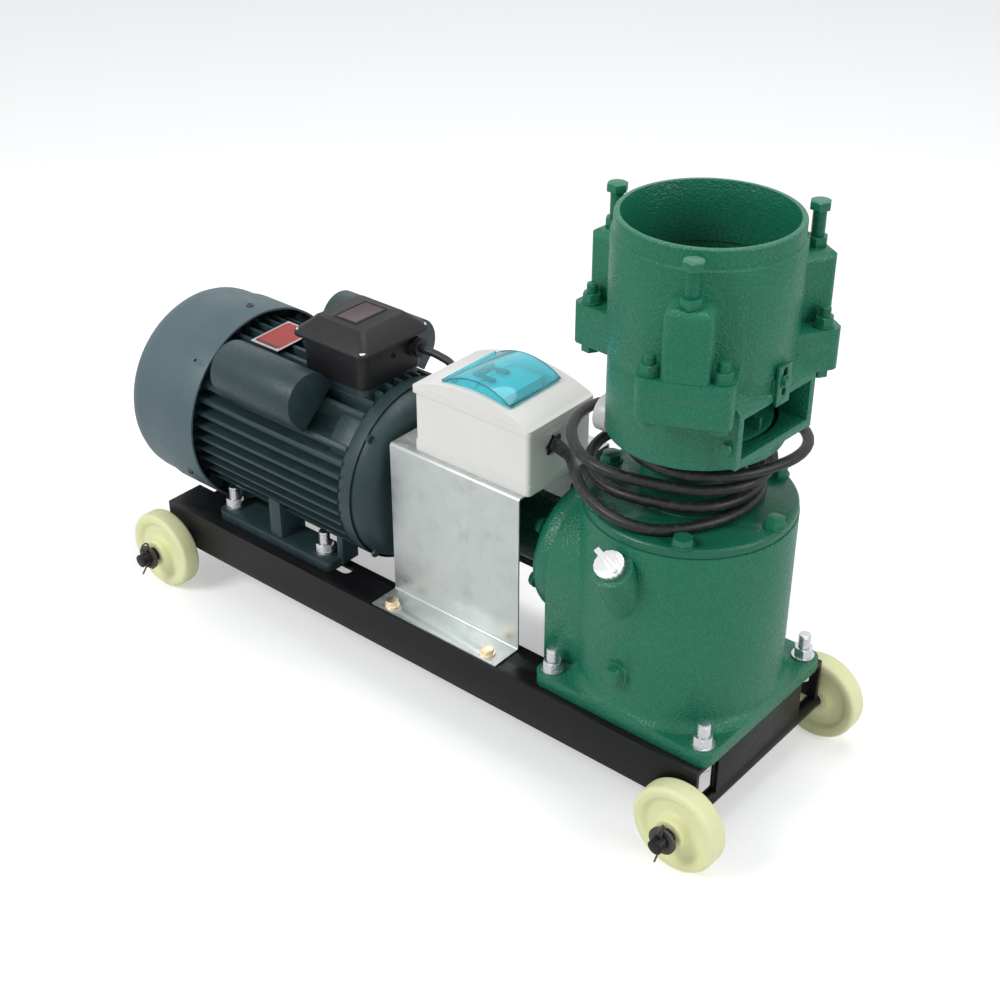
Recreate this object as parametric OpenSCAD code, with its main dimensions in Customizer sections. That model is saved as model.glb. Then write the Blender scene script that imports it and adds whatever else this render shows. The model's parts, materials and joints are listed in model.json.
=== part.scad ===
// Feed pellet mill on four wheels: motor, gearbox, roller chamber and breaker box.
// Millimetres, +Z up, rails along X, wheels on the ground at z = 0.
// The gearbox stands at the +X end and the motor at the -X end.

/* [Frame] */
// Length of the two side rails
rail_length = 776; // [770:1:800]
// Width over the two rails
frame_width = 234; // [230:1:250]
// Rail end past the gearbox axis
rail_past = 104; // [100:1:115]
// Leg of the angle steel
angle_leg = 50; // [48:1:56]
// Wall of the angle steel
angle_t = 5; // [4:0.5:6]
// Width of the upright plate at the gearbox end
end_plate_w = 156; // [140:1:170]
// Upright leg of the cross member under the fan cover
low_cross_h = 30; // [20:1:32]

/* [Wheels] */
// Wheel diameter
wheel_d = 97; // [90:1:120]
// Wheel width at the rim
wheel_w = 24; // [18:1:30]
// Gap between a rail and its wheel
wheel_gap = 4; // [2:0.5:8]
// Axle diameter
axle_d = 16; // [14:1:18]
// Distance from a rail end to the axle
axle_inset = 6; // [4:1:12]
// Axle end past the wheel
axle_past = 29; // [26:1:34]

/* [Motor] */
// Height of the motor and input shaft above the rails
shaft_height = 107.5; // [107:0.5:112]
// Distance from the gearbox axis to the front seam of the motor
motor_face = 384; // [380:1:390]
// Length of the motor frame
motor_len = 241; // [236:1:250]
// Outside diameter of the frame under the fins
core_d = 188; // [184:1:192]
// Bore of the frame, which holds the stator
core_bore = 168; // [160:1:172]
// Diameter over the cooling fins
fin_d = 216; // [208:1:220]
// Thickness of a fin
fin_t = 4; // [3:0.5:5]
// Spacing of the fins
fin_pitch = 15; // [13:0.5:16]
// Diameter of the fan cover
fan_cover_d = 242; // [236:1:246]
// Length of the fan cover
fan_cover_len = 126; // [122:1:132]
// Wall of the fan cover
fan_cover_t = 2.5; // [1.5:0.5:3]
// Length of a motor foot
foot_len = 187; // [184:1:192]
// Thickness of a motor foot
foot_t = 12; // [10:1:14]
// Spacing of the foot bolts along the motor
foot_bolts_x = 152.5; // [148:0.5:156]
// Spacing of the foot bolts across the motor
foot_bolts_y = 168.4; // [164:0.2:172]
// Diameter of a capacitor housing
capacitor_d = 64; // [56:1:68]
// Length of a capacitor housing
capacitor_len = 125; // [110:1:130]
// Side of the terminal box
terminal_w = 96; // [90:1:100]
// Height of the terminal box
terminal_h = 42; // [38:1:46]
// Side of the terminal box cover
terminal_cover_w = 112; // [106:1:116]

/* [Bracket] */
// Length of the sheet bracket along the rails
bracket_len = 178; // [170:1:182]
// Width over the legs of the bracket
bracket_w = 152.8; // [148:0.2:156]
// Height of the bracket above the rails
bracket_h = 189.4; // [180:0.2:200]
// Thickness of the bracket sheet
bracket_t = 2; // [1.5:0.5:3]

/* [Breaker box] */
// Length of the breaker box
box_len = 155; // [150:1:160]
// Depth of the breaker box
box_depth = 104; // [100:1:108]
// Height of the base up to the cover
box_h = 68.6; // [60:0.2:76]
// Rise of the arched cover above its lip
box_arch_h = 17; // [14:1:20]
// Length of the clear lid
lid_len = 89; // [84:1:92]
// Depth of the clear lid
lid_depth = 82; // [76:1:86]
// Rise of the lid arch
lid_arch_h = 14; // [12:1:16]

/* [Gearbox] */
// Side of the square base
base_w = 216; // [212:1:220]
// Thickness of the base
base_t = 15.5; // [12:0.5:18]
// Spacing of the base studs
base_studs_w = 186; // [182:1:190]
// Diameter of the round body
body_d = 212; // [206:1:216]
// Wall of the body
body_wall = 12; // [10:1:13]
// Height of the body above the rails
body_h = 214; // [208:1:224]
// Thickness of the top cover
cover_t = 10; // [8:1:12]
// Pitch circle of the six cover bolts
cover_bolts_d = 191; // [186:1:194]
// Height of the neck between cover and chamber
neck_h = 74; // [70:1:80]
// Diameter of the neck
neck_d = 100; // [96:1:104]
// Width of the arched input boss
arch_w = 154; // [148:1:160]
// Diameter of the input cap
input_cap_d = 148; // [142:1:154]
// Diameter of the input sleeve
sleeve_d = 74; // [70:1:78]

/* [Gears] */
// Gear module at the large end
gear_module = 4.5; // [4.3:0.1:4.5]
// Teeth of the pinion
pinion_teeth = 12; // [12:1:12]
// Teeth of the crown gear
crown_teeth = 36; // [36:1:36]

/* [Chamber] */
// Turn of the chamber about the gearbox axis
chamber_turn = 3.6; // [0:0.1:6]
// Outside diameter of the lower housing
housing_d = 172; // [170:1:174]
// Wall of the lower housing
housing_wall = 9.5; // [8.5:0.5:10]
// Height of the lower housing
housing_h = 83; // [82:1:88]
// Thickness of the chamber floor
floor_t = 10; // [8:1:11]
// Hopper casting past the lower housing
hopper_past = 2; // [1:0.5:3]
// Wall of the hopper casting
hopper_wall = 8; // [7:0.5:9]
// Height of the hopper casting up to its ridge
hopper_h = 113; // [108:1:120]
// Height of the rim above the ridge
rim_h = 18; // [14:1:24]
// Width of the three roller towers
tower_w = 43; // [38:1:43]
// Reach of the towers past the casting
tower_past = 32; // [31:0.5:36]
// Height of the towers above the seam
tower_h = 88; // [84:1:92]
// Width of the clamping lugs
lug_w = 87; // [84:1:92]
// Spacing of the two studs on a lug
lug_studs = 64; // [62:1:68]
// Width of the discharge chute
chute_w = 117; // [112:1:120]
// Height of the discharge chute
chute_h = 57; // [54:1:58]
// Reach of the chute past the housing
chute_past = 3; // [2.5:0.5:8]

/* [Die and rollers] */
// Gap between the die and the housing
die_gap = 1.5; // [1:0.5:2.5]
// Thickness of the die
die_t = 20; // [16:1:24]
// Diameter of a die hole
die_hole_d = 4; // [3:0.5:5]
// Diameter of a roller
roller_d = 60; // [54:1:62]
// Gap between a roller and the die's edge
roller_edge = 7; // [5:1:11]
// Diameter of a roller shaft
roller_shaft_d = 20; // [18:1:22]
// Diameter of an adjusting bolt
adjust_bolt_d = 12; // [11:0.5:14]
// Length of an adjusting bolt below its head
adjust_bolt_len = 86.2; // [82:0.2:92]

/* [Power lead] */
// Diameter of the mains lead
lead_d = 11.2; // [10:0.2:12]
// Diameter of the motor cable
motor_cable_d = 9; // [7:0.5:10]

/* [Hidden] */
$fn = 72;

// Overrun of every cut
over = 1;
// Gap between seated round faces
seat_gap = 0.05;
// Radial gap of every running fit
run_gap = 0.05;
// Turned corners of a hexagon, share of its width
hex_turn_share = 0.045;
// Gap between parts that slide
slide_gap = 0.3;

// Places on the frame
axle_seat = 0.5;
axle_z = wheel_d / 2;
rail_top = axle_z + axle_d / 2 - axle_seat + angle_leg;
x_rail_end = rail_past - rail_length;
x_axle_right = rail_past - axle_inset;
x_axle_left = x_rail_end + axle_inset;
wheel_y = frame_width / 2 + wheel_gap;
axle_len = 2 * (wheel_y + wheel_w + axle_past);
angle_fillet = 2.4;
angle_toe = 2.5;

// Wheel outline
hub_d = 34;
hub_past = 7;
tread_r = 5;
recess_depth = 5;
recess_in_share = 0.4;
recess_out_share = 0.78;
cotter_d = 4;
cotter_from_end = 9;
cotter_eye_d = 12;
cotter_leg = 12;
washer_t = 3;

// Motor places, heights from the ground
z_shaft = rail_top + shaft_height;
x_motor_rear = -motor_face - motor_len;
fan_cover_lap = 16;
x_fan_cover = x_motor_rear + fan_cover_lap;
x_fan_end = x_fan_cover - fan_cover_len;
mill_x = -(x_fan_end + x_axle_right + wheel_d / 2) / 2;

// Motor frame details
end_frame_len = 28;
end_frame_w = 172;
end_frame_h = 168;
side_fins = 4;
foot_y = 82;
foot_w = 40;
foot_x = -597;
foot_bolt_x = -586;
foot_corner = 8;
foot_rib_xs = [-590, -500, -409];
foot_rib_ws = [10, 18, 9];
foot_rib_top = 60;
foot_rib_y = 60;
foot_rib_depths = [10, 38, 24];
foot_bolt_d = 12;
slot_past = 14;
slot_len = 52;
slot_extra = 2;

// Motor inner pieces
stator_bore = 104;
stator_len = 120;
stator_x = -565;
end_winding_t = 24;
end_winding_len = 20;
rotor_gap = 0.6;
motor_shaft_d = 38;
motor_end_d = 28;
motor_tail_d = 22;
x_motor_shaft_end = -272;
rear_shield_t = 12;
rear_hub_len = 20;
rear_bearing = [52, 15];
front_bearing = [62, 17];
x_rear_bearing = x_motor_rear + fin_t - rear_hub_len;
fan_x = -690;
fan_len = 35;
fan_hub_d = 40;
fan_d = 190;
fan_blades = 8;
fan_blade_t = 4;
fan_disc_d = 152;
shield_pad_w = 24;

// Front shield outline
shield_len = 44;
shield_skirt = 19;
shield_round = 30;
shield_t = 9;
x_front_bearing = shield_len - motor_face - front_bearing[1] - shield_t;
shield_hub_d = 92;
shield_lug_d = 26;
shield_lug_r = 101;

// Fan cover outline
cover_step = 2.5;
cover_step_x = 64;
cover_round = 30;
vent_ring_rs = [34, 62];
vent_len = 20;
vent_w = 7;
vents = 20;

// Capacitor place
capacitor_y = 87;
capacitor_h = 99.5;
capacitor_x = -565;
capacitor_depth = 19.5;
capacitor_pad_w = 34;
capacitor_pad_x = [12, 88];
capacitor_pad_len = 20;

// Terminal box place
terminal_x = -442;
terminal_z = 322;
terminal_base_w = 92;
terminal_base_drop = 30;
terminal_corner = 12;
terminal_wall = 3;
terminal_lip = 4;
terminal_roof_h = 17;
terminal_roof_share = 0.62;
terminal_window = [46, 30];
terminal_window_h = 1.5;
gland_y = 34;
gland_z = 348;
gland_d = 20;
gland_len = 11;
eye_x = -509;
eye_z = 350;
eye_r = 11;
eye_wire = 8;
eye_collar = [24, 5];
eye_boss_d = 30;
eye_boss_top = 116;
eye_stem_d = 12;

// Bracket outline
x_bracket = -331;
bracket_bend = 4;
bracket_foot_y = 114;
bracket_bolt_inset = 20;
bracket_bolt_y = 103;
bracket_bolt_d = 8;
bracket_bolt_af = 13;
bracket_bolt_head = 5.3;
bracket_washer = [17, 1.6];
bracket_nut = 4;

// Breaker box outline
box_x = -225;
box_y = -16;
box_wall = 2.5;
box_corner = 5;
box_band_h = 11.6;
box_band_past = 1;
box_lip_h = 7;
box_lip_past = 1.5;
lid_x = -222.5;
lid_y = -19;
lid_wall = 2;
lid_low = 1.5;
hinge_d = 4.6;
hinge_gap = 0.3;
window_inset = 5;
breaker_w = 54;
breaker_len = 66;
breaker_front_y = -50;
breaker_deck = 7;
toggle_x = -247;
toggle_w = 30;
toggle_t = 4;
toggle_reach = 9;
toggle_pivot_d = 8;
toggle_tilt = 20;
exit_y = -28;
exit_z = 340;
exit_d = 17;
exit_notch_w = 5;
exit_notch_past = 3;

// Gearbox outline
base_corner = 12;
base_fillet = 14;
boss_x = 117;
cap_flange_t = 7;
cap_round = 14;
cap_len = 26;
cap_face_d = 120;
cap_bore_d = 80;
cap_spigot = 25;
cap_bolts_d = 122;
cap_bolt_turn = 20;
sleeve_x = -215;
sleeve_bore = 52;
sleeve_foot_d = 96;
sleeve_foot_t = 8;
input_shaft_d = 25;
input_shoulder_d = 32;
input_bearing = [62, 17];
sleeve_bearing = [52, 15];
floor_z = 14;
seat_d = 100;
seat_h = 22;
main_bearing = [80, 18];
main_shaft_d = 40;
main_seat_x = 18;
neck_bore = 60;
neck_flange_d = 124;
neck_flange_t = 8;
neck_foot_d = 108;
cover_edge = 2;
bolt_boss_d = 26;
bolt_boss_h = 30;
m12_af = 18;
m12_head = 8;
m12_d = 12;
// Flange of a screw head: width and height shares
screw_washer_share = [1.28, 0.14];
m10_d = 9;
m10_af = 14;
m10_head = 6.4;
stud_af = 18;
stud_nut_h = 10;
stud_washer = [24, 2.5];
base_stud_top = 27.5;
filler_at = [-5.2, -120, 299.3];
filler_tilt = 30;
filler_boss_d = 42;
filler_boss_len = 70;
filler_cap_d = 30;
filler_cap_h = 9;
filler_stem = [18, 16];
filler_wing = [32.5, 6, 9];
filler_wing_share = 0.385;
filler_wing_turn = 158;
filler_knurls = 18;
drain_at = [-3, 170];
drain_boss_d = 28;
drain_boss_y = 110;
drain_head = [17, 7];
drain_stem = [12, 12];

// Heights from the ground
z_base = rail_top + base_t;
z_seat = rail_top + floor_z + seat_h;
z_body = rail_top + body_h;
z_cover = z_body + cover_t;
z_floor = z_cover + neck_h;
z_seam = z_floor + housing_h;
z_ridge = z_seam + hopper_h;
z_rim = z_ridge + rim_h;
hopper_d = housing_d + 2 * hopper_past;
hopper_bore = hopper_d - 2 * hopper_wall;
hopper_relief = 2;
rim_d = hopper_d - 5;
rim_round = 2;
mouth_depth = 60;

// Coupling
coupling_d = 80;
coupling_hub = 28;
coupling_x = -298;
coupling_jaw = 16;
coupling_jaws = 3;
coupling_jaw_share = 0.5;
jaw_half = 19;
pad_half = 10.5;

// Tangents of tip and root cones, half tooth widths in degrees
cone_pitch = crown_teeth / pinion_teeth;
crown_tip_tan = tan(atan(cone_pitch) + 2.4);
crown_root_tan = tan(atan(cone_pitch) - 3.3);
pinion_tip_tan = tan(atan(1 / cone_pitch) + 2.4);
pinion_root_tan = tan(atan(1 / cone_pitch) - 3.3);
crown_tooth_share = [3.5, 1.2];
pinion_tooth_share = [11.6, 3.2];
gear_face = 22;
crown_cut_d = gear_module * crown_teeth;
crown_in_d = crown_cut_d - 2 * gear_face;
crown_depth = [34, 16];
crown_blank_t = 14;
crown_hub = [68, 40];
pinion_depth = [crown_cut_d / 2, crown_cut_d / 2 - gear_face];
pinion_back = [40, 8];
axle_nut = [36, 14];
thread_d = 30;

// Chamber outline
tower_angles = [-60, 60, 180];
tower_round = 10;
tower_edge = 7;
slot_w = 27;
tower_reach = hopper_d / 2 + tower_past;
slot_wall = 4.5;
slot_in = hopper_bore / 2 - hopper_relief;
slot_out = tower_reach - slot_wall;
slot_h = 46;
lug_reach = tower_reach + over;
lug_in = slot_in - hopper_wall;
lug_up = 21;
lug_down = 20;
lug_corner = 9;
lug_stud_inset = 15;
lug_stud_r = lug_reach - lug_stud_inset;
lug_stud_top = 19.5;
lug_washer = [20, 2];
lug_stud_d = 10;
lug_nut = [16, 8.4];
chute_floor_z = 10;
chute_wall = 7.5;
chute_floor = 9;
chute_roof = 7;
chute_reach = housing_d / 2 + chute_past;
chute_depth = 34;
chute_in = chute_reach - chute_depth;
chute_bolt_z = 30;
plate_pad_s = [-9, 13];
plate_s = 2;
plate_w = 20;
plate_t = 3;
plate_h = 39;
plate_z = 56;
plate_slot = [6.4, 28];
plate_bolt_z = 79;
plate_bolt = [6, 10, 4];
plate_gap = 0.2;
housing_bolt_r = 52;
housing_bolts_n = 4;

// Die, thrower and rollers
die_drop = 7;
die_hub = [56, 20];
housing_bore = housing_d - 2 * housing_wall;
die_d = housing_bore - 2 * die_gap;
die_rim = 13;
die_ring_step = 8;
die_rings = [for (i = [3:-1:0]) die_d / 2 - die_rim - i * die_ring_step];
die_ring_holes = [18, 22, 26, 30];
thrower_t = 6;
thrower_d = die_d - thrower_t;
thrower_lift = 4;
thrower_hub = [56, 9];
thrower_vanes = 4;
vane = [4, 12];
roller_gap = 0.3;
roller_in = 30;
roller_len = die_d / 2 - roller_in - roller_edge;
roller_grooves = 24;
groove_d = 5;
holder_hub = [48, 27];
holder_collar_d = 28;
block_w = 26;
block_len = 31;
block_gap = 0.5;
block_out = slot_out - block_gap;
block_in = block_out - block_len;
keeper = [30, 3];
z_die = z_seam - die_drop;
z_roller = z_die + roller_gap + roller_d / 2;
z_block = z_roller + block_w / 2;
adjust_past = 0.6;
adjust_r = lug_stud_r + adjust_past;
tip_gap = 0.1;
adjust_head = [18, 7.5];
lock_nut = [18, 9];
z_bolt_head = z_block + tip_gap + adjust_bolt_len;

// Colours
black_paint = [0.07, 0.07, 0.08];
cream = [0.93, 0.94, 0.8];
motor_grey = [0.26, 0.36, 0.38];
black_plastic = [0.1, 0.1, 0.11];
zinc = [0.75, 0.76, 0.77];
white_plastic = [0.92, 0.92, 0.9];
clear_blue = [0.25, 0.65, 0.9, 0.6];
green = [0.05, 0.42, 0.27];
steel = [0.55, 0.56, 0.58];
yellow_zinc = [0.8, 0.68, 0.4];
rubber = [0.12, 0.12, 0.13];

// Turns Z onto X
module along_x() rotate([0, 90, 0]) children();
// Motor and input axis, Z along +X
module at_shaft(x) translate([x, 0, z_shaft]) rotate([0, 90, 0]) children();
// Turns Z onto Y
module along_y() rotate([-90, 0, 0]) children();
// Origin under the mill's middle
module placed() translate([mill_x, 0, 0]) children();
// Turned with the chamber
module in_chamber() rotate(-chamber_turn) children();

// Bolt patterns at height z
module at_cover_bolts(z) for (i = [0:5]) rotate(i * 60) translate([cover_bolts_d / 2, 0, z]) children();
module at_floor_bolts(z) for (i = [0:housing_bolts_n - 1])
  rotate(45 + i * 360 / housing_bolts_n) translate([housing_bolt_r, 0, z]) children();
module at_base_studs(z) for (sx = [-1, 1], sy = [-1, 1])
  translate([sx * base_studs_w / 2, sy * base_studs_w / 2, z]) children();
module at_bracket_bolts(z) for (i = [0, 1], side = [-1, 1])
  translate([bracket_hole_x(i), side * bracket_bolt_y, z]) children();
// At each roller tower
module at_towers() for (a = tower_angles) rotate(a) children();

// Rectangle with exact round corners, centred
module round_rect(w, h, r) union() {
  square([w - 2 * r, h], center = true);
  square([w, h - 2 * r], center = true);
  for (sx = [-1, 1], sy = [-1, 1]) translate([sx * (w / 2 - r), sy * (h / 2 - r)]) circle(r);
}
// Hexagonal prism, across flats af
module hex(af, h) cylinder(d = af / cos(30), h = h, $fn = 6);
// Nut or head with turned corners
module hex_turned(af, h) intersection() {
  hex(af, h);
  rotate_extrude()
    polygon([[0, 0], [af / sqrt(3), 0], [af / sqrt(3), h - af * hex_turn_share], [af / 2, h], [0, h]]);
}
// Slot along X, rounded ends, from z = 0
module slot(len, w, h) linear_extrude(h) union() {
  square([len - w, w], center = true);
  for (s = [-1, 1]) translate([s * (len - w) / 2, 0]) circle(d = w);
}
// Raises the children
module up(z) translate([0, 0, z]) children();
// Cut through a height h from z = 0
module bore(d, h) up(-over) cylinder(d = d, h = h + 2 * over);
// Points on an arc
function arc(c, r, from, to, n = 4) =
  [for (i = [0:n]) c + r * [cos(from + (to - from) * i / n), sin(from + (to - from) * i / n)]];
// Ring or tube standing on z = 0
module tube(od, id, h) difference() {
  cylinder(d = od, h = h);
  bore(id, h);
}
// n copies round Z
module repeat(n) for (i = [0:n - 1]) rotate(i * 360 / n) children();
module diagonals() rotate(45) repeat(4) children();
module at_cap_bolts(x) translate([x, 0, z_shaft]) for (i = [0:5])
  rotate([cap_bolt_turn + i * 60, 0, 0]) translate([0, cap_bolts_d / 2, 0]) children();
// Stud end with washer and nut
module stud_top(d, af, washer, nut_h, top) {
  cylinder(d = washer[0], h = washer[1]);
  up(washer[1]) hex_turned(af, nut_h);
  cylinder(d = d, h = top);
}

// Angle steel, legs along +X and -Y
module angle_section() polygon(concat(
  [[0, 0], [angle_leg, 0]],
  arc([angle_leg - angle_toe, -angle_t + angle_toe], angle_toe, 0, -90, 3),
  arc([angle_t + angle_fillet, -angle_t - angle_fillet], angle_fillet, 90, 180, 4),
  arc([angle_t - angle_toe, -angle_leg + angle_toe], angle_toe, 0, -90, 3),
  [[0, -angle_leg]]
));
// Axle bar, also the shape of its saddles
module axle_bar(x) translate([x, -axle_len / 2, axle_z])
  along_y() cylinder(d = axle_d, h = axle_len);
// Rail on the -Y side
module rail() difference() {
  translate([x_rail_end, -frame_width / 2, rail_top])
    rotate([90, 0, 90]) linear_extrude(rail_length) angle_section();
  for (i = [0, 1]) translate([foot_bolt_x + i * foot_bolts_x + slot_past, -foot_bolts_y / 2,
      rail_top - angle_t - over])
      slot(slot_len, foot_bolt_d + slot_extra, angle_t + 2 * over);
  for (i = [0, 1]) translate([bracket_hole_x(i), -bracket_bolt_y, rail_top - angle_t - over])
      cylinder(d = bracket_bolt_d, h = angle_t + 2 * over);
  for (s = [-1, 1]) translate([s * base_studs_w / 2, -base_studs_w / 2, rail_top - angle_t - over])
      cylinder(d = m12_d, h = angle_t + 2 * over);
  axle_bar(x_axle_right);
  axle_bar(x_axle_left);
}
function bracket_hole_x(i) = x_bracket + (i == 0 ? bracket_bolt_inset : bracket_len - bracket_bolt_inset);
module rail_front() color(black_paint) placed() rail();
module rail_back() color(black_paint) placed() mirror([0, 1, 0]) rail();

// Angle across the gearbox end
module end_plate() color(black_paint) placed() difference() {
  union() {
    translate([rail_past, -(frame_width / 2 - angle_leg), rail_top])
      rotate([90, 0, 180]) linear_extrude(frame_width - 2 * angle_leg) angle_section();
    translate([rail_past - angle_t, -end_plate_w / 2, rail_top - angle_leg])
      cube([angle_t, end_plate_w, angle_leg - angle_t]);
  }
  axle_bar(x_axle_right);
}
// Angle below the fan cover
module low_cross_member() color(black_paint) placed() difference() {
  translate([x_rail_end, 0, rail_top - angle_leg]) union() {
    translate([0, angle_t - frame_width / 2, 0])
      cube([angle_leg, frame_width - 2 * angle_t, angle_t]);
    translate([0, angle_t - frame_width / 2, 0])
      cube([angle_t, frame_width - 2 * angle_t, low_cross_h]);
  }
  axle_bar(x_axle_left);
}
module axle_gearbox_end() color(black_paint) placed() cut_axle(x_axle_right);
module axle_motor_end() color(black_paint) placed() cut_axle(x_axle_left);
// Axle with two cross holes
module cut_axle(x) difference() {
  axle_bar(x);
  for (s = [-1, 1])
    translate([x, s * (axle_len / 2 - cotter_from_end), axle_z - axle_d / 2 - over])
      cylinder(d = cotter_d, h = axle_d + 2 * over, $fn = 24);
}

// Half section of a wheel
module wheel_outline() polygon(concat(
  [[axle_d / 2 + run_gap, 0], [hub_d / 2, 0], [hub_d / 2, recess_depth],
    [wheel_d / 2 * recess_in_share, recess_depth + 1],
    [wheel_d / 2 * recess_out_share - recess_depth, recess_depth + 1],
    [wheel_d / 2 * recess_out_share, 1]],
  arc([wheel_d / 2 - tread_r, tread_r], tread_r, -90, 0, 4),
  arc([wheel_d / 2 - tread_r, wheel_w - tread_r], tread_r, 0, 90, 4),
  [[wheel_d / 2 * recess_out_share, wheel_w - 1],
    [wheel_d / 2 * recess_out_share - recess_depth, wheel_w - recess_depth],
    [wheel_d / 2 * recess_in_share + 1, wheel_w - recess_depth],
    [hub_d / 2, wheel_w - 1], [hub_d / 2 - 1, wheel_w + hub_past],
    [axle_d / 2 + run_gap, wheel_w + hub_past]]
));
module wheel(x, side) translate([x, side * wheel_y, axle_z])
  rotate([side > 0 ? -90 : 90, 0, 0]) rotate_extrude() wheel_outline();
module wheel_front_right() color(cream) placed() wheel(x_axle_right, -1);
module wheel_back_right() color(cream) placed() wheel(x_axle_right, 1);
module wheel_front_left() color(cream) placed() wheel(x_axle_left, -1);
module wheel_back_left() color(cream) placed() wheel(x_axle_left, 1);

// Split pins with washers
module cotter(x, side) translate([x, side * (axle_len / 2 - cotter_from_end), axle_z]) {
  up(-axle_d / 2 - cotter_leg / 3)
    cylinder(d = cotter_d, h = axle_d + 2 * cotter_leg / 3, $fn = 24);
  up(axle_d / 2 + cotter_leg / 3 + cotter_eye_d / 2 - cotter_d / 2)
    rotate([90, 0, 90]) rotate_extrude($fn = 24)
      translate([cotter_eye_d / 2 - cotter_d / 4, 0]) circle(d = cotter_d / 2, $fn = 16);
  for (s = [-1, 1])
    translate([0, s * cotter_d / 8, -axle_d / 2 - cotter_leg / 6]) rotate([180 + s * 40, 0, 0])
      cylinder(d = cotter_d / 2, h = cotter_leg, $fn = 24);
  translate([0, -side * (cotter_d / 2 + slide_gap + washer_t / 2), 0]) along_y()
    up(-washer_t / 2) tube(hub_d - cotter_d, axle_d, washer_t);
}
module cotter_pins() color(steel) placed() {
  for (x = [x_axle_right, x_axle_left], side = [-1, 1])
    cotter(x, side);
}

// Section of the finned frame
module frame_section() {
  circle(d = core_d);
  intersection() {
    circle(d = fin_d);
    union() {
      for (i = [-side_fins:side_fins]) translate([0, i * fin_pitch])
          square([fin_d, fin_t], center = true);
      for (i = [-side_fins:side_fins]) translate([i * fin_pitch, 0])
          square([fin_t, fin_d], center = true);
    }
  }
}
// Foot plate of one side
module foot(side) difference() {
  translate([foot_x + foot_len / 2, side * foot_y, rail_top]) linear_extrude(foot_t)
    round_rect(foot_len, foot_w, foot_corner);
  for (i = [0, 1])
    translate([foot_bolt_x + i * foot_bolts_x, side * foot_bolts_y / 2, rail_top - over])
      cylinder(d = foot_bolt_d, h = foot_t + 2 * over);
}
// Capacitor seat: Z outward, X along the motor
module on_capacitor_seat(side) translate([capacitor_x, 0, z_shaft])
  rotate([-side * atan(capacitor_y / capacitor_h), 0, 0]) children();
capacitor_seat = norm([capacitor_y, capacitor_h]) - capacitor_depth;
module motor_frame() color(motor_grey) placed() difference() {
  union() {
    translate([x_motor_rear, 0, z_shaft])
      rotate([90, 0, 90]) linear_extrude(motor_len) frame_section();
    translate([-motor_face - end_frame_len, 0, z_shaft])
      rotate([90, 0, 90]) linear_extrude(end_frame_len) intersection() {
        circle(d = fin_d - fin_t);
        square([end_frame_w, end_frame_h], center = true);
      }
    for (side = [-1, 1]) {
      foot(side);
      for (i = [0:2]) translate([foot_rib_xs[i] - foot_rib_ws[i] / 2,
          side * (foot_rib_y + foot_rib_depths[i] / 2) - foot_rib_depths[i] / 2,
          rail_top + foot_t / 2])
          cube([foot_rib_ws[i], foot_rib_depths[i], foot_rib_top - foot_t / 2]);
      on_capacitor_seat(side) for (x = capacitor_pad_x)
        translate([x, -capacitor_pad_w / 2, core_d / 2 - fin_t])
          cube([capacitor_pad_len, capacitor_pad_w, capacitor_seat - core_d / 2 + fin_t]);
    }
    translate([terminal_x, 0, terminal_z - terminal_base_drop]) linear_extrude(terminal_base_drop)
      round_rect(terminal_base_w, terminal_base_w, terminal_corner);
    translate([eye_x, 0, z_shaft + core_bore / 2 + over])
      cylinder(d = eye_boss_d, h = eye_boss_top - core_bore / 2 - over);
  }
  at_shaft(x_motor_rear - over) cylinder(d = core_bore, h = motor_len + 2 * over);
}
// Core with end windings
module stator_core() color(steel) placed() at_shaft(stator_x) {
  tube(core_bore - 2 * seat_gap, stator_bore, stator_len);
  for (z = [-end_winding_len, stator_len]) up(z)
      tube(stator_bore + 2 * end_winding_t, stator_bore + fin_t, end_winding_len);
}
module rear_shield() color(motor_grey) placed()
  at_shaft(x_motor_rear - rear_shield_t) difference() {
    union() {
      cylinder(d = fin_d - fin_t, h = rear_shield_t);
      up(rear_shield_t) cylinder(d = core_bore - 2 * seat_gap, h = fin_t);
      up(rear_shield_t - rear_hub_len) cylinder(d = shield_hub_d, h = rear_hub_len);
      // pads that carry the fan cover
      intersection() {
        cylinder(d = fan_cover_d - 2 * fan_cover_t - 2 * seat_gap, h = rear_shield_t);
        diagonals() translate([core_bore / 2, -shield_pad_w / 2, 0])
          cube([fan_cover_d / 2, shield_pad_w, rear_shield_t]);
      }
    }
    up(rear_shield_t - rear_hub_len + fin_t)
      cylinder(d = rear_bearing[0], h = rear_hub_len + fin_t);
    up(-rear_hub_len) cylinder(d = motor_shaft_d - fin_t, h = 3 * rear_hub_len);
    diagonals() translate([fan_cover_d / 2, 0, rear_shield_t / 2]) rotate([0, -90, 0])
      cylinder(d = fin_t, h = 2 * rear_shield_t);
  }
// Bell outline: radius, distance from the seam
module shield_outline() polygon(concat(
  [[motor_shaft_d / 2, shield_len], [shield_hub_d / 2, shield_len],
    [shield_hub_d / 2 + shield_t / 3, shield_len - shield_t / 2]],
  arc([fin_d / 2 - shield_round - fin_t, shield_len - shield_t / 2 - shield_round + over],
    shield_round, 75, 0, 6),
  [[fin_d / 2 - fin_t / 2, shield_skirt - 2 * over], [fin_d / 2 - fin_t / 2, 0],
    [core_bore / 2, 0], [core_bore / 2, shield_skirt],
    [core_bore / 2 - shield_round / 2, shield_len - shield_t - shield_t / 2],
    [front_bearing[0] / 2 + shield_t / 2, shield_len - shield_t - shield_t / 2],
    [front_bearing[0] / 2 + shield_t / 2, shield_len - front_bearing[1] - shield_t],
    [front_bearing[0] / 2, shield_len - front_bearing[1] - shield_t],
    [front_bearing[0] / 2, shield_len - shield_t / 2], [motor_shaft_d / 2, shield_len - shield_t / 2]]
));
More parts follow.
